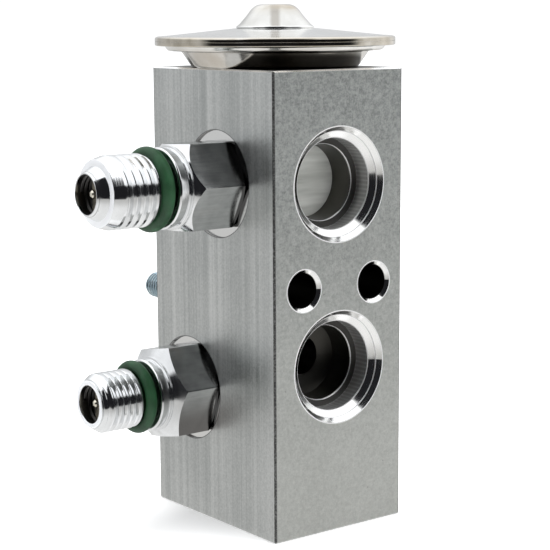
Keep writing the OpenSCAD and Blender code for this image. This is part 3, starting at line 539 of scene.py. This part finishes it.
def head_finish():
    """Bright pressed stainless sheet, tinted near the welds, with a mottled rim, painted shade on the bowl
    and a painted reflection streak on the dome.
    """
    material, tree, surface, place = new_material("pressed_stainless")
    z = axes_of(tree, place)[2]
    away = away_from(tree, place, (0, 0, 0), ACROSS_Z)
    blotch = noise(tree, place, 130.0, 4.0)
    welds = math_node(tree, "MAXIMUM", ramp(tree, away, RIM_R - 2.85, RIM_R - 0.05),
                      ramp(tree, z, DOME_TOP - 2.2, DOME_TOP - 0.2))
    tint = product(tree, welds, ramp(tree, blotch, 0.25, 0.7, 0.25, 1.0))
    mottle = ramp(tree, noise(tree, place, 330.0, 3.0), 0.3, 0.7, 0.45, 0.9)
    rim = product(tree, ramp(tree, away, RIM_R - 0.3, RIM_R - 0.05), mottle)
    # Painted shade on the bowl under the rim
    bowl_shade = product(tree, ramp(tree, z, BLOCK_TOP + 3.6, BLOCK_TOP + 2.7),
                   ramp(tree, blotch, 0.25, 0.75, 0.55, 1.0))
    # The dome: dull sheet, a painted reflection streak running down from the weld bead on the side toward the
    # camera, and a brown shoulder
    dome = ramp(tree, z, DOME_FOOT + 0.3, DOME_FOOT + 0.5)
    turned_place = add_node(tree, "ShaderNodeVectorRotate", Vector=place, Axis=(0, 0, 1),
                            Angle=math.radians(STREAK_AZIMUTH)).outputs[0]
    aside, run, _ = axes_of(tree, turned_place)
    wander = product(tree, math_node(tree, "SUBTRACT", blotch, 0.5), 0.8)
    aside = math_node(tree, "ABSOLUTE", math_node(tree, "ADD", aside, wander))
    # Painted reflection: a dark streak down the dome's side toward the camera
    reflection_streak = product(tree, ramp(tree, aside, 1.15, 0.4), dome, ramp(tree, run, 0.0, -1.0))
    shoulder = product(tree, ramp(tree, z, DOME_TOP - 1.1, DOME_TOP - 0.5), ramp(tree, blotch, 0.4, 0.6))
    base = painted(tree, (0.83, 0.83, 0.82, 1),
                   (ramp(tree, blotch, 0.3, 0.8), (0.70, 0.70, 0.69, 1)),
                   (tint, (0.66, 0.585, 0.47, 1), 0.75),
                   (rim, (0.36, 0.325, 0.26, 1)),
                   # painted shade on the bowl
                   (bowl_shade, (0.46, 0.42, 0.365, 1)),
                   (product(tree, dome, blotch), (0.42, 0.41, 0.38, 1)),
                   # painted reflection streak on the dome
                   (reflection_streak, (0.36, 0.34, 0.31, 1), 0.8),
                   (shoulder, (0.45, 0.4, 0.33, 1)))
    rings = noise(tree, add_node(tree, "ShaderNodeCombineXYZ", X=away, Z=z).outputs[0], 2.6)
    scratches = noise(tree, place, (900.0, 3200.0, 900.0))
    height = math_node(tree, "ADD", rings, product(tree, scratches, 0.5))
    dress_surface(tree, surface, base, 1.0, ramp(tree, rings, 0.25, 0.8, 0.07, 0.2), height, 0.12, 0.012)
    return material


def zinc_finish():
    """Blue passivated zinc plating with cloudy colour."""
    material, tree, surface, place = new_material("blue_zinc_plating")
    cloud = noise(tree, place, 700.0, 3.0)
    grain = noise(tree, place, 5200.0)
    base = mix_colour(tree, ramp(tree, cloud, 0.3, 0.75), (0.36, 0.47, 0.55, 1), (0.56, 0.66, 0.72, 1))
    dress_surface(tree, surface, base, 1.0, ramp(tree, cloud, 0.2, 0.8, 0.12, 0.2), grain, 0.3, 0.01)
    return material


def plain_metal_finish(name, dark, light, rough):
    """Machined metal of the inner pieces: fine grain and a slow change of tone."""
    material, tree, surface, place = new_material(name)
    grain = noise(tree, place, 4200.0)
    base = mix_colour(tree, noise(tree, place, 420.0, 3.0), dark, light)
    rough = ramp(tree, grain, 0.2, 0.8, rough, rough + 0.14)
    dress_surface(tree, surface, base, 1.0, rough, grain, 0.3, 0.01)
    return material


def sealing_plastic_finish():
    material, tree, surface, place = new_material("white_sealing_plastic")
    haze = noise(tree, place, 900.0, 3.0)
    base = mix_colour(tree, haze, (0.74, 0.72, 0.66, 1), (0.88, 0.87, 0.83, 1))
    grain = noise(tree, place, 6000.0)
    dress_surface(tree, surface, base, 0.0, ramp(tree, haze, 0.2, 0.8, 0.34, 0.5), grain, 0.2, 0.006)
    return material


def floor_finish():
    material, tree, surface, _ = new_material("pale_floor")
    feed(tree, surface, Base_Color=(0.9, 0.9, 0.9, 1), Roughness=0.9, Emission_Color=(1, 1, 1, 1),
         Emission_Strength=0.3)
    return material


# Modelling steps

def start_edit(name):
    piece = bpy.context.object
    piece.name = name
    piece.data.name = name
    bpy.ops.object.mode_set(mode="EDIT")
    bpy.ops.mesh.select_all(action="SELECT")
    return piece


def only(piece):
    bpy.ops.object.select_all(action="DESELECT")
    piece.select_set(True)
    bpy.context.view_layer.objects.active = piece


def apply_place(piece):
    """Makes the piece's turn and place a part of its mesh."""
    only(piece)
    bpy.ops.object.transform_apply(location=True, rotation=True, scale=True)


def settle(piece):
    """Merges doubled points, turns the faces outwards and leaves edit mode."""
    bpy.ops.mesh.select_all(action="SELECT")
    bpy.ops.mesh.remove_doubles(threshold=0.000001)
    bpy.ops.mesh.normals_make_consistent(inside=False)
    bpy.ops.object.mode_set(mode="OBJECT")
    return piece


def turn(name, outline, sides=TURNED_SIDES, closed=True):
    """Draws a ring out along an outline of (radius, height) points in millimetres, about Z.
    A closed outline gives a ring with a hole; an open one is capped at both ends."""
    bpy.ops.object.select_all(action="DESELECT")
    r, z = outline[0]
    bpy.ops.mesh.primitive_circle_add(vertices=sides, radius=r * MM, location=(0, 0, z * MM),
                                      fill_type="NOTHING" if closed else "NGON")
    piece = start_edit(name)
    bpy.ops.mesh.select_mode(type="EDGE")
    bpy.ops.mesh.select_all(action="SELECT")
    if not closed:
        bpy.ops.mesh.duplicate()
        bpy.ops.mesh.delete(type="ONLY_FACE")
        bpy.ops.mesh.select_non_manifold(extend=False, use_wire=True, use_boundary=False,
                                         use_multi_face=False, use_non_contiguous=False, use_verts=False)
    for next_r, next_z in outline[1:] + (outline[:1] if closed else []):
        bpy.ops.mesh.extrude_edges_move(TRANSFORM_OT_translate={"value": (0, 0, (next_z - z) * MM)})
        bpy.ops.transform.resize(value=(next_r / r, next_r / r, 1), center_override=(0, 0, 0))
        r, z = next_r, next_z
    if not closed:
        bpy.ops.mesh.edge_face_add()
    settle(piece)
    apply_place(piece)
    return piece


def rounded(outline, radius, steps=3):
    """The closed outline with each corner eased by a small arc."""
    eased = []
    for i, point in enumerate(outline):
        here = Vector(point)
        before = Vector(outline[i - 1]) - here
        after = Vector(outline[(i + 1) % len(outline)]) - here
        reach = min(radius, before.length * 0.42, after.length * 0.42)
        a = here + before.normalized() * reach
        b = here + after.normalized() * reach
        for k in range(steps + 1):
            t = k / steps
            eased.append(tuple(a * (1 - t) ** 2 + here * 2 * t * (1 - t) + b * t ** 2))
    return eased


def combine(piece, other, operation):
    """Cuts a mesh with another or joins them; the other is then deleted."""
    only(piece)
    modifier = piece.modifiers.new("shape", "BOOLEAN")
    modifier.operation = operation
    modifier.solver = "EXACT"
    modifier.object = other
    bpy.ops.object.modifier_apply(modifier=modifier.name)
    bpy.data.objects.remove(other)
    return piece


def wind(piece, pitch, turns, steps):
    """Sweeps a section along a right-hand helix about Z, and stays in edit mode with all of it selected."""
    screw = piece.modifiers.new("wind", "SCREW")
    screw.axis = "Z"
    screw.angle = 2 * math.pi
    screw.screw_offset = pitch * MM
    screw.iterations = turns
    screw.steps = steps
    screw.render_steps = steps
    bpy.ops.object.modifier_apply(modifier=screw.name)
    bpy.ops.object.mode_set(mode="EDIT")
    bpy.ops.mesh.select_all(action="SELECT")


def helix_cutter(name, crest_r, root_r, open_r, pitch, crest_w, root_w, start, turns, steps=72):
    """A groove's section between the crest and root radii, swept along a right-hand helix about Z.
    Both its ends lie at +Y, which is the far side once a fitting is laid on the left face."""
    bpy.ops.object.select_all(action="DESELECT")
    bpy.ops.mesh.primitive_plane_add(size=1, location=((crest_r + open_r) / 2 * MM, 0, start * MM),
                                     rotation=(math.pi / 2, 0, 0))
    cutter = start_edit(name)
    groove_w = pitch - crest_w

    def on_crest(a, b):
        return abs(a.x - crest_r * MM) < 1e-6 and abs(b.x - crest_r * MM) < 1e-6

    bpy.ops.transform.resize(value=(abs(crest_r - open_r) * MM, 1, groove_w * MM))
    bpy.ops.mesh.select_mode(type="EDGE")
    select_edges(cutter, on_crest)
    bpy.ops.mesh.extrude_edges_move(TRANSFORM_OT_translate={"value": ((root_r - crest_r) * MM, 0, 0)})
    bpy.ops.transform.resize(value=(1, 1, root_w / groove_w))
    bpy.ops.mesh.select_mode(type="EDGE")
    select_edges(cutter, on_crest)
    bpy.ops.mesh.dissolve_edges(use_verts=False)
    bpy.ops.mesh.select_mode(type="VERT")
    select_points(cutter, lambda p: min(abs(p.x - crest_r * MM), abs(p.x - root_r * MM)) < 1e-6)
    bpy.ops.mesh.bevel(offset=min(root_w, crest_w) * 0.45 * MM, segments=2, affect="VERTICES")
    bpy.ops.mesh.select_all(action="SELECT")
    bpy.ops.mesh.delete(type="ONLY_FACE")
    bpy.ops.object.mode_set(mode="OBJECT")
    apply_place(cutter)
    cutter.rotation_euler = (0, 0, math.pi / 2)
    apply_place(cutter)
    wind(cutter, pitch, turns, steps)
    bpy.ops.mesh.remove_doubles(threshold=0.0000005)
    bpy.ops.mesh.select_all(action="SELECT")
    bpy.ops.mesh.fill_holes(sides=0)
    return settle(cutter)


def select_edges(piece, test):
    """In edit mode, selects the edges whose two ends pass the test, in world places."""
    bpy.ops.mesh.select_all(action="DESELECT")
    bpy.ops.object.mode_set(mode="OBJECT")
    place = piece.matrix_world
    points = piece.data.vertices
    for edge in piece.data.edges:
        a, b = (place @ points[i].co for i in edge.vertices)
        edge.select = bool(test(a, b))
    bpy.ops.object.mode_set(mode="EDIT")


def select_points(piece, test):
    bpy.ops.mesh.select_all(action="DESELECT")
    bpy.ops.object.mode_set(mode="OBJECT")
    for point in piece.data.vertices:
        point.select = bool(test(piece.matrix_world @ point.co))
    bpy.ops.object.mode_set(mode="EDIT")


def lay_on_left_face(piece, axis_place):
    """Moves a piece modelled about Z so that it reaches out of the block's left face."""
    piece.rotation_euler = (0, -math.pi / 2, 0)
    piece.location = (BLOCK_LOW.x, axis_place.y, axis_place.z)
    apply_place(piece)


def finish_piece(piece, material, body, slot, *nodes):
    only(piece)
    piece.data.materials.clear()
    piece.data.materials.append(material)
    bpy.ops.object.shade_smooth_by_angle(angle=SMOOTH_ANGLE)
    even = piece.modifiers.new("even_shine", "WEIGHTED_NORMAL")
    even.keep_sharp = True
    bpy.ops.object.modifier_apply(modifier=even.name)
    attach(piece, body)
    if nodes:
        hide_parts(*nodes)
    return piece


# Pieces

def cone_rise(flats, radius, angle):
    """Height of the hexagon's front cone between its corners and a smaller radius."""
    return (flats / math.sqrt(3) - radius) * math.tan(math.radians(angle))


def hexagon(name, flats, length, turn_deg, washer_r, cone_angle):
    """Bevelled hexagon bar with a turned cone on its front, drilled for the body that passes through it."""
    corner_r = flats / math.sqrt(3)
    front = length + cone_rise(flats, washer_r, cone_angle)
    bpy.ops.object.select_all(action="DESELECT")
    bpy.ops.mesh.primitive_cylinder_add(vertices=6, radius=corner_r * MM, depth=(front + SPOT_DEPTH) * MM,
                                        location=(0, 0, (front - SPOT_DEPTH) / 2 * MM),
                                        rotation=(0, 0, math.radians(-turn_deg)))
    bar = start_edit(name)
    bpy.ops.mesh.select_mode(type="EDGE")
    select_edges(bar, lambda a, b: abs(a.z - b.z) > length * MM / 2)
    bpy.ops.mesh.bevel(offset=0.14 * MM, segments=3, profile=0.5)
    settle(bar)
    apply_place(bar)
    reach = corner_r + 1.5
    foot, chamfer = -SPOT_DEPTH, 0.55
    cone = [(washer_r, front), (corner_r, length), (reach, length), (reach, front + 1), (washer_r, front + 1)]
    back = [(flats / 2, foot), (corner_r, foot + chamfer), (reach, foot + chamfer), (reach, foot - 1),
            (flats / 2, foot - 1)]
    combine(bar, turn(name + "_front_cut", cone), "DIFFERENCE")
    combine(bar, turn(name + "_back_cut", back), "DIFFERENCE")
    hole = turn(name + "_hole", [(HEX_HOLE_R, -1.5), (HEX_HOLE_R, length + 1.5)], closed=False)
    return combine(bar, hole, "DIFFERENCE")


def bore_outline(tip):
    """The mouth, the gasket's seat and the passage, from the tip inwards."""
    seat = tip - GASKET_DEPTH
    return [(MOUTH_R, tip - 0.12), (MOUTH_R, seat), (PASSAGE_R, seat - GASKET_L), (PASSAGE_R, -SHANK_L)]


def collar_outline(washer_u, collar_r, front, neck_r, thread_r, thread_start):
    """Shank, the two thin washer rings, collar and O-ring groove, up to the thread's first bevel."""
    washer_r = collar_r + WASHER_STEP
    return [(SHANK_R - 0.5, -SHANK_L), (SHANK_R, -SHANK_L + 0.5), (SHANK_R, washer_u - 0.6),
            (washer_r, washer_u - 0.6), (washer_r, washer_u + 0.1), (washer_r - 0.14, washer_u + 0.14),
            (washer_r - 0.14, washer_u + 0.24), (washer_r, washer_u + 0.28), (washer_r, washer_u + 0.4),
            (collar_r - 0.24, washer_u + 0.52), (collar_r, front - 0.25), (collar_r - 0.25, front),
            (neck_r, front), (neck_r, thread_start), (thread_r - 0.5, thread_start),
            (thread_r, thread_start + 0.5)]


def threaded_fitting(name, axis, tip, collar, nose, hex_bar, thread):
    """A fitting with its hexagon, the thread outside and the core's thread in its mouth."""
    flats, hex_l, turn_deg, cone_angle = hex_bar
    collar_r, _, _, thread_r, thread_start = collar
    washer_r = collar_r + WASHER_STEP
    washer_u = hex_l + cone_rise(flats, washer_r, cone_angle)
    outline = collar_outline(washer_u, *collar) + nose + bore_outline(tip)
    body = turn(name + "_fitting_body", rounded(outline, EDGE_BREAK))
    combine(body, hexagon(name + "_hexagon", flats, hex_l, turn_deg, washer_r, cone_angle), "UNION")
    depth, pitch, crest_w, root_w, run_in, turns = thread
    cutter = helix_cutter(name + "_thread_cut", thread_r, thread_r - depth, thread_r + 0.35, pitch, crest_w,
                          root_w, thread_start - run_in, turns)
    combine(body, cutter, "DIFFERENCE")
    core_thread = helix_cutter(name + "_core_thread_cut", MOUTH_R, MOUTH_R + 0.36, MOUTH_R - 0.4, 0.8, 0.2,
                               0.14, tip - GASKET_DEPTH + 1.2, 5, 48)
    combine(body, core_thread, "DIFFERENCE")
    lay_on_left_face(body, axis)
    return body


def suction_fitting():
    """Upper fitting: its thread runs out into a band, then the nose has a cone, a step and a second cone."""
    thread_r = mount_radius("suction_thread")
    nose = [(thread_r, 22.3), (NOSE_STEP_R, NOSE_STEP), (NOSE_FOOT_R, NOSE_STEP + 0.05),
            (MOUTH_R + 0.2, SUCTION_TIP), (MOUTH_R + 0.05, SUCTION_TIP)]
    return threaded_fitting("suction", SUCTION_AXIS, SUCTION_TIP, (6.95, 12.2, 4.78, thread_r, 15.25), nose,
                            (14.6, SUCTION_HEX_L, -2.7, SUCTION_CONE_ANGLE), (0.62, 1.5, 0.42, 0.3, 0.6, 5))


def liquid_fitting():
    """Lower fitting: its nose has one cone and a rim round the mouth."""
    thread_r, rim_r, rim = mount_radius("liquid_thread"), LIQUID_RIM_R, 20.8
    nose = [(thread_r, 19.5), (rim_r + 0.15, rim - 0.05), (rim_r - 0.15, rim), (rim_r - 0.12, rim + 0.08),
            (rim_r, rim + 0.14), (rim_r, LIQUID_TIP - 0.1), (rim_r - 0.1, LIQUID_TIP),
            (MOUTH_R + 0.12, LIQUID_TIP)]
    return threaded_fitting("liquid", LIQUID_AXIS, LIQUID_TIP, (6.4, 10.25, 4.43, thread_r, 12.9), nose,
                            (15.6, LIQUID_HEX_L, -10.5, LIQUID_CONE_ANGLE), (0.6, 1.25, 0.34, 0.24, 0.9, 7))


def stud():
    """Stepped stud with a cut thread on the end that reaches out of the back face."""
    low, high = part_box("mounting_stud")
    root_r, thread_r, pitch = (high.x - low.x) / 2 / MM, mount_radius("stud"), 0.8
    length = (high.y - low.y) / MM
    grip = (BLOCK_HIGH.y - low.y) / MM
    outline = [(root_r - 0.5, 0), (root_r, 0.5), (root_r, grip - 0.25), (thread_r, grip + 0.25),
               (thread_r, length - 0.5), (thread_r - 0.5, length)]
    body = turn("stud_body", outline, 72, closed=False)
    turns = int((length - grip) / pitch) + 3
    cutter = helix_cutter("stud_thread_cut", thread_r, thread_r - 0.42, thread_r + 0.3, pitch, 0.16, 0.1,
                          length + 1 - turns * pitch, turns, 48)
    combine(body, cutter, "DIFFERENCE")
    body.rotation_euler = (-math.pi / 2, 0, 0)
    body.location = (STUD_AXIS.x, low.y, STUD_AXIS.z)
    apply_place(body)
    return body


def head_cap():
    """Pressed cap: rolled rim, shallow cone and a soft rise to the weld of the dome."""
    joint = CAP_JOINT
    outline = [(19.45, joint), (20.4, joint), (20.5, joint - 0.17), (RIM_R - 0.02, joint - 0.17),
               (RIM_R, joint - 0.15), (RIM_R, joint + 0.38), (RIM_R - 0.3, joint + 0.62),
               (19.3, joint + 0.72), (8.8, joint + 1.8), (6.8, joint + 2.0), (5.2, joint + 2.0),
               (5.2, joint + 1.35), (8.8, joint + 1.15), (19.0, joint + 0.1)]
    return turn("pressed_head_cap", rounded(outline, 0.2, steps=4))


def head_base():
    """Pressed base: threaded boss, bowl and stepped flange with an upright rim."""
    top, joint = BLOCK_HIGH.z / MM, FLANGE_JOINT
    outline = [(6, top - 8), (10.8, top - 8), (11.4, top - 7.4), (11.4, top), (14.4, top), (14.8, top + 0.35),
               (16.5, top + 2.8), (18.65, top + 2.9), (19.05, top + 3.2), (19.3, top + 3.7),
               (20.85, top + 3.76), (RIM_R, top + 3.9), (RIM_R, joint - 0.02), (RIM_R - 0.02, joint),
               (16.7, joint), (14.0, top + 1.4), (6, top + 1.4)]
    return turn("pressed_head_base", rounded(outline, 0.16, steps=4))


def charge_dome():
    """Welded dome over the filling hole, with a soft shoulder and a slightly hollow top."""
    foot, top = DOME_FOOT, DOME_TOP
    outline = [(6.8, foot), (6.8, foot + 0.3), (6.3, foot + 0.62), (5.0, foot + 2.1), (4.1, foot + 3.3),
               (3.4, foot + 3.85), (2.6, top), (1.4, top - 0.02), (0.7, top - 0.1), (0.7, top - 0.95),
               (2.5, top - 1.05), (4.2, foot + 0.9), (4.6, foot)]
    return turn("welded_charge_dome", rounded(outline, 0.6, steps=4))


def dome_plug():
    """Small weld bead that closes the dome's filling hole."""
    outline = [(0.74, DOME_TOP - 0.9), (0.74, DOME_TOP - 0.1), (0.62, DOME_TOP - 0.03), (0.3, DOME_TOP)]
    return turn("dome_weld_bead", outline, 48, closed=False)


def coil_spring(node, wire, turns, along_x):
    """Round wire wound between the ends of the spring's node, whose length lies along X or Z."""
    low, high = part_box(node)
    middle = (low + high) / 2
    outer_r = (high.y - low.y) / 2 / MM
    length = (high.x - low.x if along_x else high.z - low.z) / MM
    bpy.ops.object.select_all(action="DESELECT")
    bpy.ops.mesh.primitive_circle_add(vertices=12, radius=wire / 2 * MM, fill_type="NOTHING",
                                      location=((outer_r - wire / 2) * MM, 0, wire / 2 * MM),
                                      rotation=(math.pi / 2, 0, 0))
    spring = bpy.context.object
    spring.name = node + "_coil"
    spring.data.name = node + "_coil"
    apply_place(spring)
    wind(spring, (length - wire) / turns, turns, 32)
    bpy.ops.mesh.fill_holes(sides=0)
    settle(spring)
    if along_x:
        spring.rotation_euler = (0, math.pi / 2, 0)
        spring.location = (low.x, middle.y, middle.z)
    else:
        spring.location = (middle.x, middle.y, low.z)
    apply_place(spring)
    return spring


def place_springs(finish):
    """Winds the springs and sets them in place of the solid ones: the pins' two along X, the superheat one
    upright.
    """
    for node, joint in (("suction_core_spring", "suction_core_press"),
                        ("liquid_core_spring", "liquid_core_press")):
        spring = coil_spring(node, CORE_WIRE, CORE_TURNS, True)
        finish_piece(spring, finish, "housing", "steel", node)
        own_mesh(spring)
    spring = coil_spring("superheat_spring", SUPERHEAT_WIRE, SUPERHEAT_TURNS, False)
    finish_piece(spring, finish, "housing", "steel", "superheat_spring")
    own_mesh(spring)


def place_pieces():
    suction_metal = turned_finish("bright_turned_suction", SUCTION_AXIS, SUCTION_TIP, (0.86, 0.87, 0.88, 1),
                                  0.05, 0.16, 0.012, (NOSE_STEP, NOSE_FOOT_R + 0.05, NOSE_STEP_R - 0.05))
    liquid_metal = turned_finish("bright_turned_liquid", LIQUID_AXIS, LIQUID_TIP, (0.84, 0.85, 0.86, 1),
                                 0.06, 0.19, 0.014, (LIQUID_TIP, MOUTH_R + 0.1, LIQUID_RIM_R))
    suction_flats = hexagon_finish("milled_suction_hexagon", SUCTION_AXIS, 1.5, 0.5, 0.0)
    liquid_flats = hexagon_finish("milled_liquid_hexagon", LIQUID_AXIS, 0.6, 0.1, 0.95)
    for build, metal, flats, node, axis, hex_l in (
            (suction_fitting, suction_metal, suction_flats, "suction_fitting", SUCTION_AXIS, SUCTION_HEX_L),
            (liquid_fitting, liquid_metal, liquid_flats, "liquid_fitting", LIQUID_AXIS, LIQUID_HEX_L)):
        piece = finish_piece(build(), metal, "housing", "fitting", node)
        piece.data.materials.append(flats)
        mark_flats(piece, axis, hex_l + 1.55)
    finish_piece(stud(), zinc_finish(), "housing", "zinc", "mounting_stud")
    steel = head_finish()
    finish_piece(head_cap(), steel, "housing", "head", "head_cap")
    finish_piece(head_base(), steel, "housing", "head", "head_base")
    finish_piece(charge_dome(), steel, "housing", "head", "charge_dome")
    finish_piece(dome_plug(), steel, "housing", "head")


def mark_flats(piece, axis, reach):
    """Gives the milled finish to the faces of the hexagon's flats, which end short of the reach."""
    for face in piece.data.polygons:
        out = (BLOCK_LOW.x - face.center.x) / MM
        away = Vector((face.center.y - axis.y, face.center.z - axis.z)).length / MM
        if -0.3 < out < reach and away > 6.8 and abs(face.normal.x) < 0.2:
            face.material_index = 1


def dress_nodes():
    """Gives each carried-over node its finish, and sets wound springs in place of the solid ones."""
    green = rubber_finish("green_ring_rubber", (0.0035, 0.04, 0.011, 1), 0.46)
    black = rubber_finish("black_seal_rubber", (0.012, 0.012, 0.013, 1), 0.42)
    brass = plain_metal_finish("turned_brass", (0.55, 0.42, 0.2, 1), (0.74, 0.6, 0.34, 1), 0.2)
    nickel = plain_metal_finish("plated_core_brass", (0.28, 0.255, 0.2, 1), (0.42, 0.39, 0.32, 1), 0.24)
    pin = plain_metal_finish("bright_core_pin", (0.66, 0.62, 0.52, 1), (0.86, 0.82, 0.72, 1), 0.16)
    steel = plain_metal_finish("ground_steel", (0.42, 0.43, 0.44, 1), (0.66, 0.67, 0.68, 1), 0.18)
    spring = plain_metal_finish("drawn_spring_steel", (0.24, 0.25, 0.27, 1), (0.44, 0.45, 0.47, 1), 0.26)
    sheet = plain_metal_finish("thin_diaphragm_sheet", (0.66, 0.66, 0.64, 1), (0.8, 0.8, 0.78, 1), 0.16)
    plastic = sealing_plastic_finish()
    for finish, *nodes in (
            (block_finish(), "valve_block"),
            (green, "suction_o_ring", "liquid_o_ring"),
            (black, "suction_shank_seal", "liquid_shank_seal", "head_o_ring", "rod_o_ring", "adjuster_o_ring",
             "suction_plunger_seal", "liquid_plunger_seal"),
            (nickel, "suction_core_barrel", "liquid_core_barrel"),
            (pin, "suction_core_pin", "liquid_core_pin"),
            (plastic, "suction_core_gasket", "liquid_core_gasket"),
            (sheet, "diaphragm"),
            (brass, "diaphragm_pad", "rod_retainer", "ball_carrier", "adjusting_screw"),
            (steel, "sensing_rod", "push_pin", "valve_ball")):
        for node in nodes:
            slots = frame["nodes"][node].data.materials
            slots.clear()
            slots.append(finish)
    place_springs(spring)


# Studio

CAMERA_AZIMUTH = -37.63
CAMERA_ELEVATION = 9.73
CAMERA_ROLL = -0.31
CAMERA_DISTANCE = 291.4
LOOK_AT = Vector((0, 0, 40))
FOCAL_PIXELS = 1618.7
PHOTO_PIXELS = 550
CENTRE_X, CENTRE_Y = 276.4, 290.8
# The tent's dark opening, in degrees round and above the horizon: its middle, then half its width and height,
# of a wide low part and of a taller one
WIDE_OPENING = ((-31, 5), (76, 20))
TALL_OPENING = ((-35, 27), (38, 42))


def direction(azimuth, elevation):
    a, e = math.radians(azimuth), math.radians(elevation)
    return Vector((math.sin(a) * math.cos(e), -math.cos(a) * math.cos(e), math.sin(e)))


def make_camera():
    camera = bpy.data.cameras.new("photo_camera")
    camera.sensor_width = 36
    camera.lens = FOCAL_PIXELS * camera.sensor_width / PHOTO_PIXELS
    camera.shift_x = (PHOTO_PIXELS / 2 - CENTRE_X) / PHOTO_PIXELS
    camera.shift_y = (CENTRE_Y - PHOTO_PIXELS / 2) / PHOTO_PIXELS
    camera.clip_start = 0.01
    camera.clip_end = 20
    holder = bpy.data.objects.new("photo_camera", camera)
    bpy.context.scene.collection.objects.link(holder)
    back = direction(CAMERA_AZIMUTH, CAMERA_ELEVATION)
    holder.location = (LOOK_AT + back * CAMERA_DISTANCE) * MM
    holder.rotation_euler = back.to_track_quat("Z", "Y").to_euler()
    holder.rotation_euler.rotate_axis("Z", math.radians(CAMERA_ROLL))
    bpy.context.scene.camera = holder


def area_light(name, place, size, power):
    """A square lamp that points at the part and isn't mirrored in its metal."""
    light = bpy.data.lights.new(name, "AREA")
    light.shape = "RECTANGLE"
    light.size = size
    light.size_y = size
    light.energy = power
    holder = bpy.data.objects.new(name, light)
    bpy.context.scene.collection.objects.link(holder)
    holder.location = place
    holder.rotation_euler = (Vector(place) - LOOK_AT * MM).to_track_quat("Z", "Y").to_euler()
    holder.visible_glossy = False


def opening_mask(tree, azimuth, elevation, opening):
    """1 inside a squarish oval of the sky with a soft edge."""
    parts = []
    for angle, middle, half in zip((azimuth, elevation), *opening):
        off = math_node(tree, "ABSOLUTE", math_node(tree, "SUBTRACT", angle, middle))
        parts.append(math_node(tree, "POWER", math_node(tree, "DIVIDE", off, half), 3.0))
    return ramp(tree, math_node(tree, "ADD", *parts), 1.3, 0.75)


def make_studio():
    """White tent that is open and dark towards the camera, with a soft light overhead and a fill in front."""
    world = bpy.data.worlds.new("studio_tent")
    bpy.context.scene.world = world
    world.use_nodes = True
    tree = world.node_tree
    tree.nodes.clear()
    way = add_node(tree, "ShaderNodeTexCoord").outputs["Generated"]
    x, y, up = axes_of(tree, way, 1.0)
    azimuth = math_node(tree, "DEGREES", math_node(tree, "ARCTAN2", x, product(tree, y, -1.0)))
    elevation = math_node(tree, "DEGREES", math_node(tree, "ARCSINE", up))
    # From the ground up: ground, far side, horizon, right wall, roof, the opening and the backdrop as seen
    tent = painted(tree, (0.60, 0.595, 0.58, 1),
                   (ramp(tree, up, -0.3, -0.75), (0.95, 0.95, 0.94, 1)),
                   (ramp(tree, y, -0.3, 0.9), (1.3, 1.3, 1.3, 1), 0.2),
                   (ramp(tree, up, -0.25, 0.0), (0.70, 0.71, 0.72, 1)),
                   (band(tree, azimuth, 40, 62, 100, 140), (1.15, 1.15, 1.15, 1)),
                   (ramp(tree, up, 0.15, 0.7), (1.45, 1.47, 1.49, 1)),
                   (opening_mask(tree, azimuth, elevation, WIDE_OPENING), (0.014, 0.014, 0.016, 1)),
                   (opening_mask(tree, azimuth, elevation, TALL_OPENING), (0.014, 0.014, 0.016, 1)),
                   (add_node(tree, "ShaderNodeLightPath").outputs["Is Camera Ray"], (1.05, 1.05, 1.05, 1)))
    background = add_node(tree, "ShaderNodeBackground", Color=tent, Strength=1.0)
    output = tree.nodes.new("ShaderNodeOutputWorld")
    tree.links.new(background.outputs[0], output.inputs["Surface"])
    area_light("overhead_softbox", (-0.05, 0.1, 0.75), 0.5, 4.0)
    area_light("front_fill", (0.25, -0.75, 0.35), 0.5, 3.0)


def make_floor():
    bpy.ops.object.select_all(action="DESELECT")
    bpy.ops.mesh.primitive_plane_add(size=6, location=(0, 0, 0))
    floor = bpy.context.object
    floor.name = "studio_floor"
    floor.data.materials.append(floor_finish())
    floor.visible_glossy = False


bpy.context.scene.view_settings.view_transform = "Standard"
make_camera()
make_studio()
make_floor()
dress_nodes()
place_pieces()
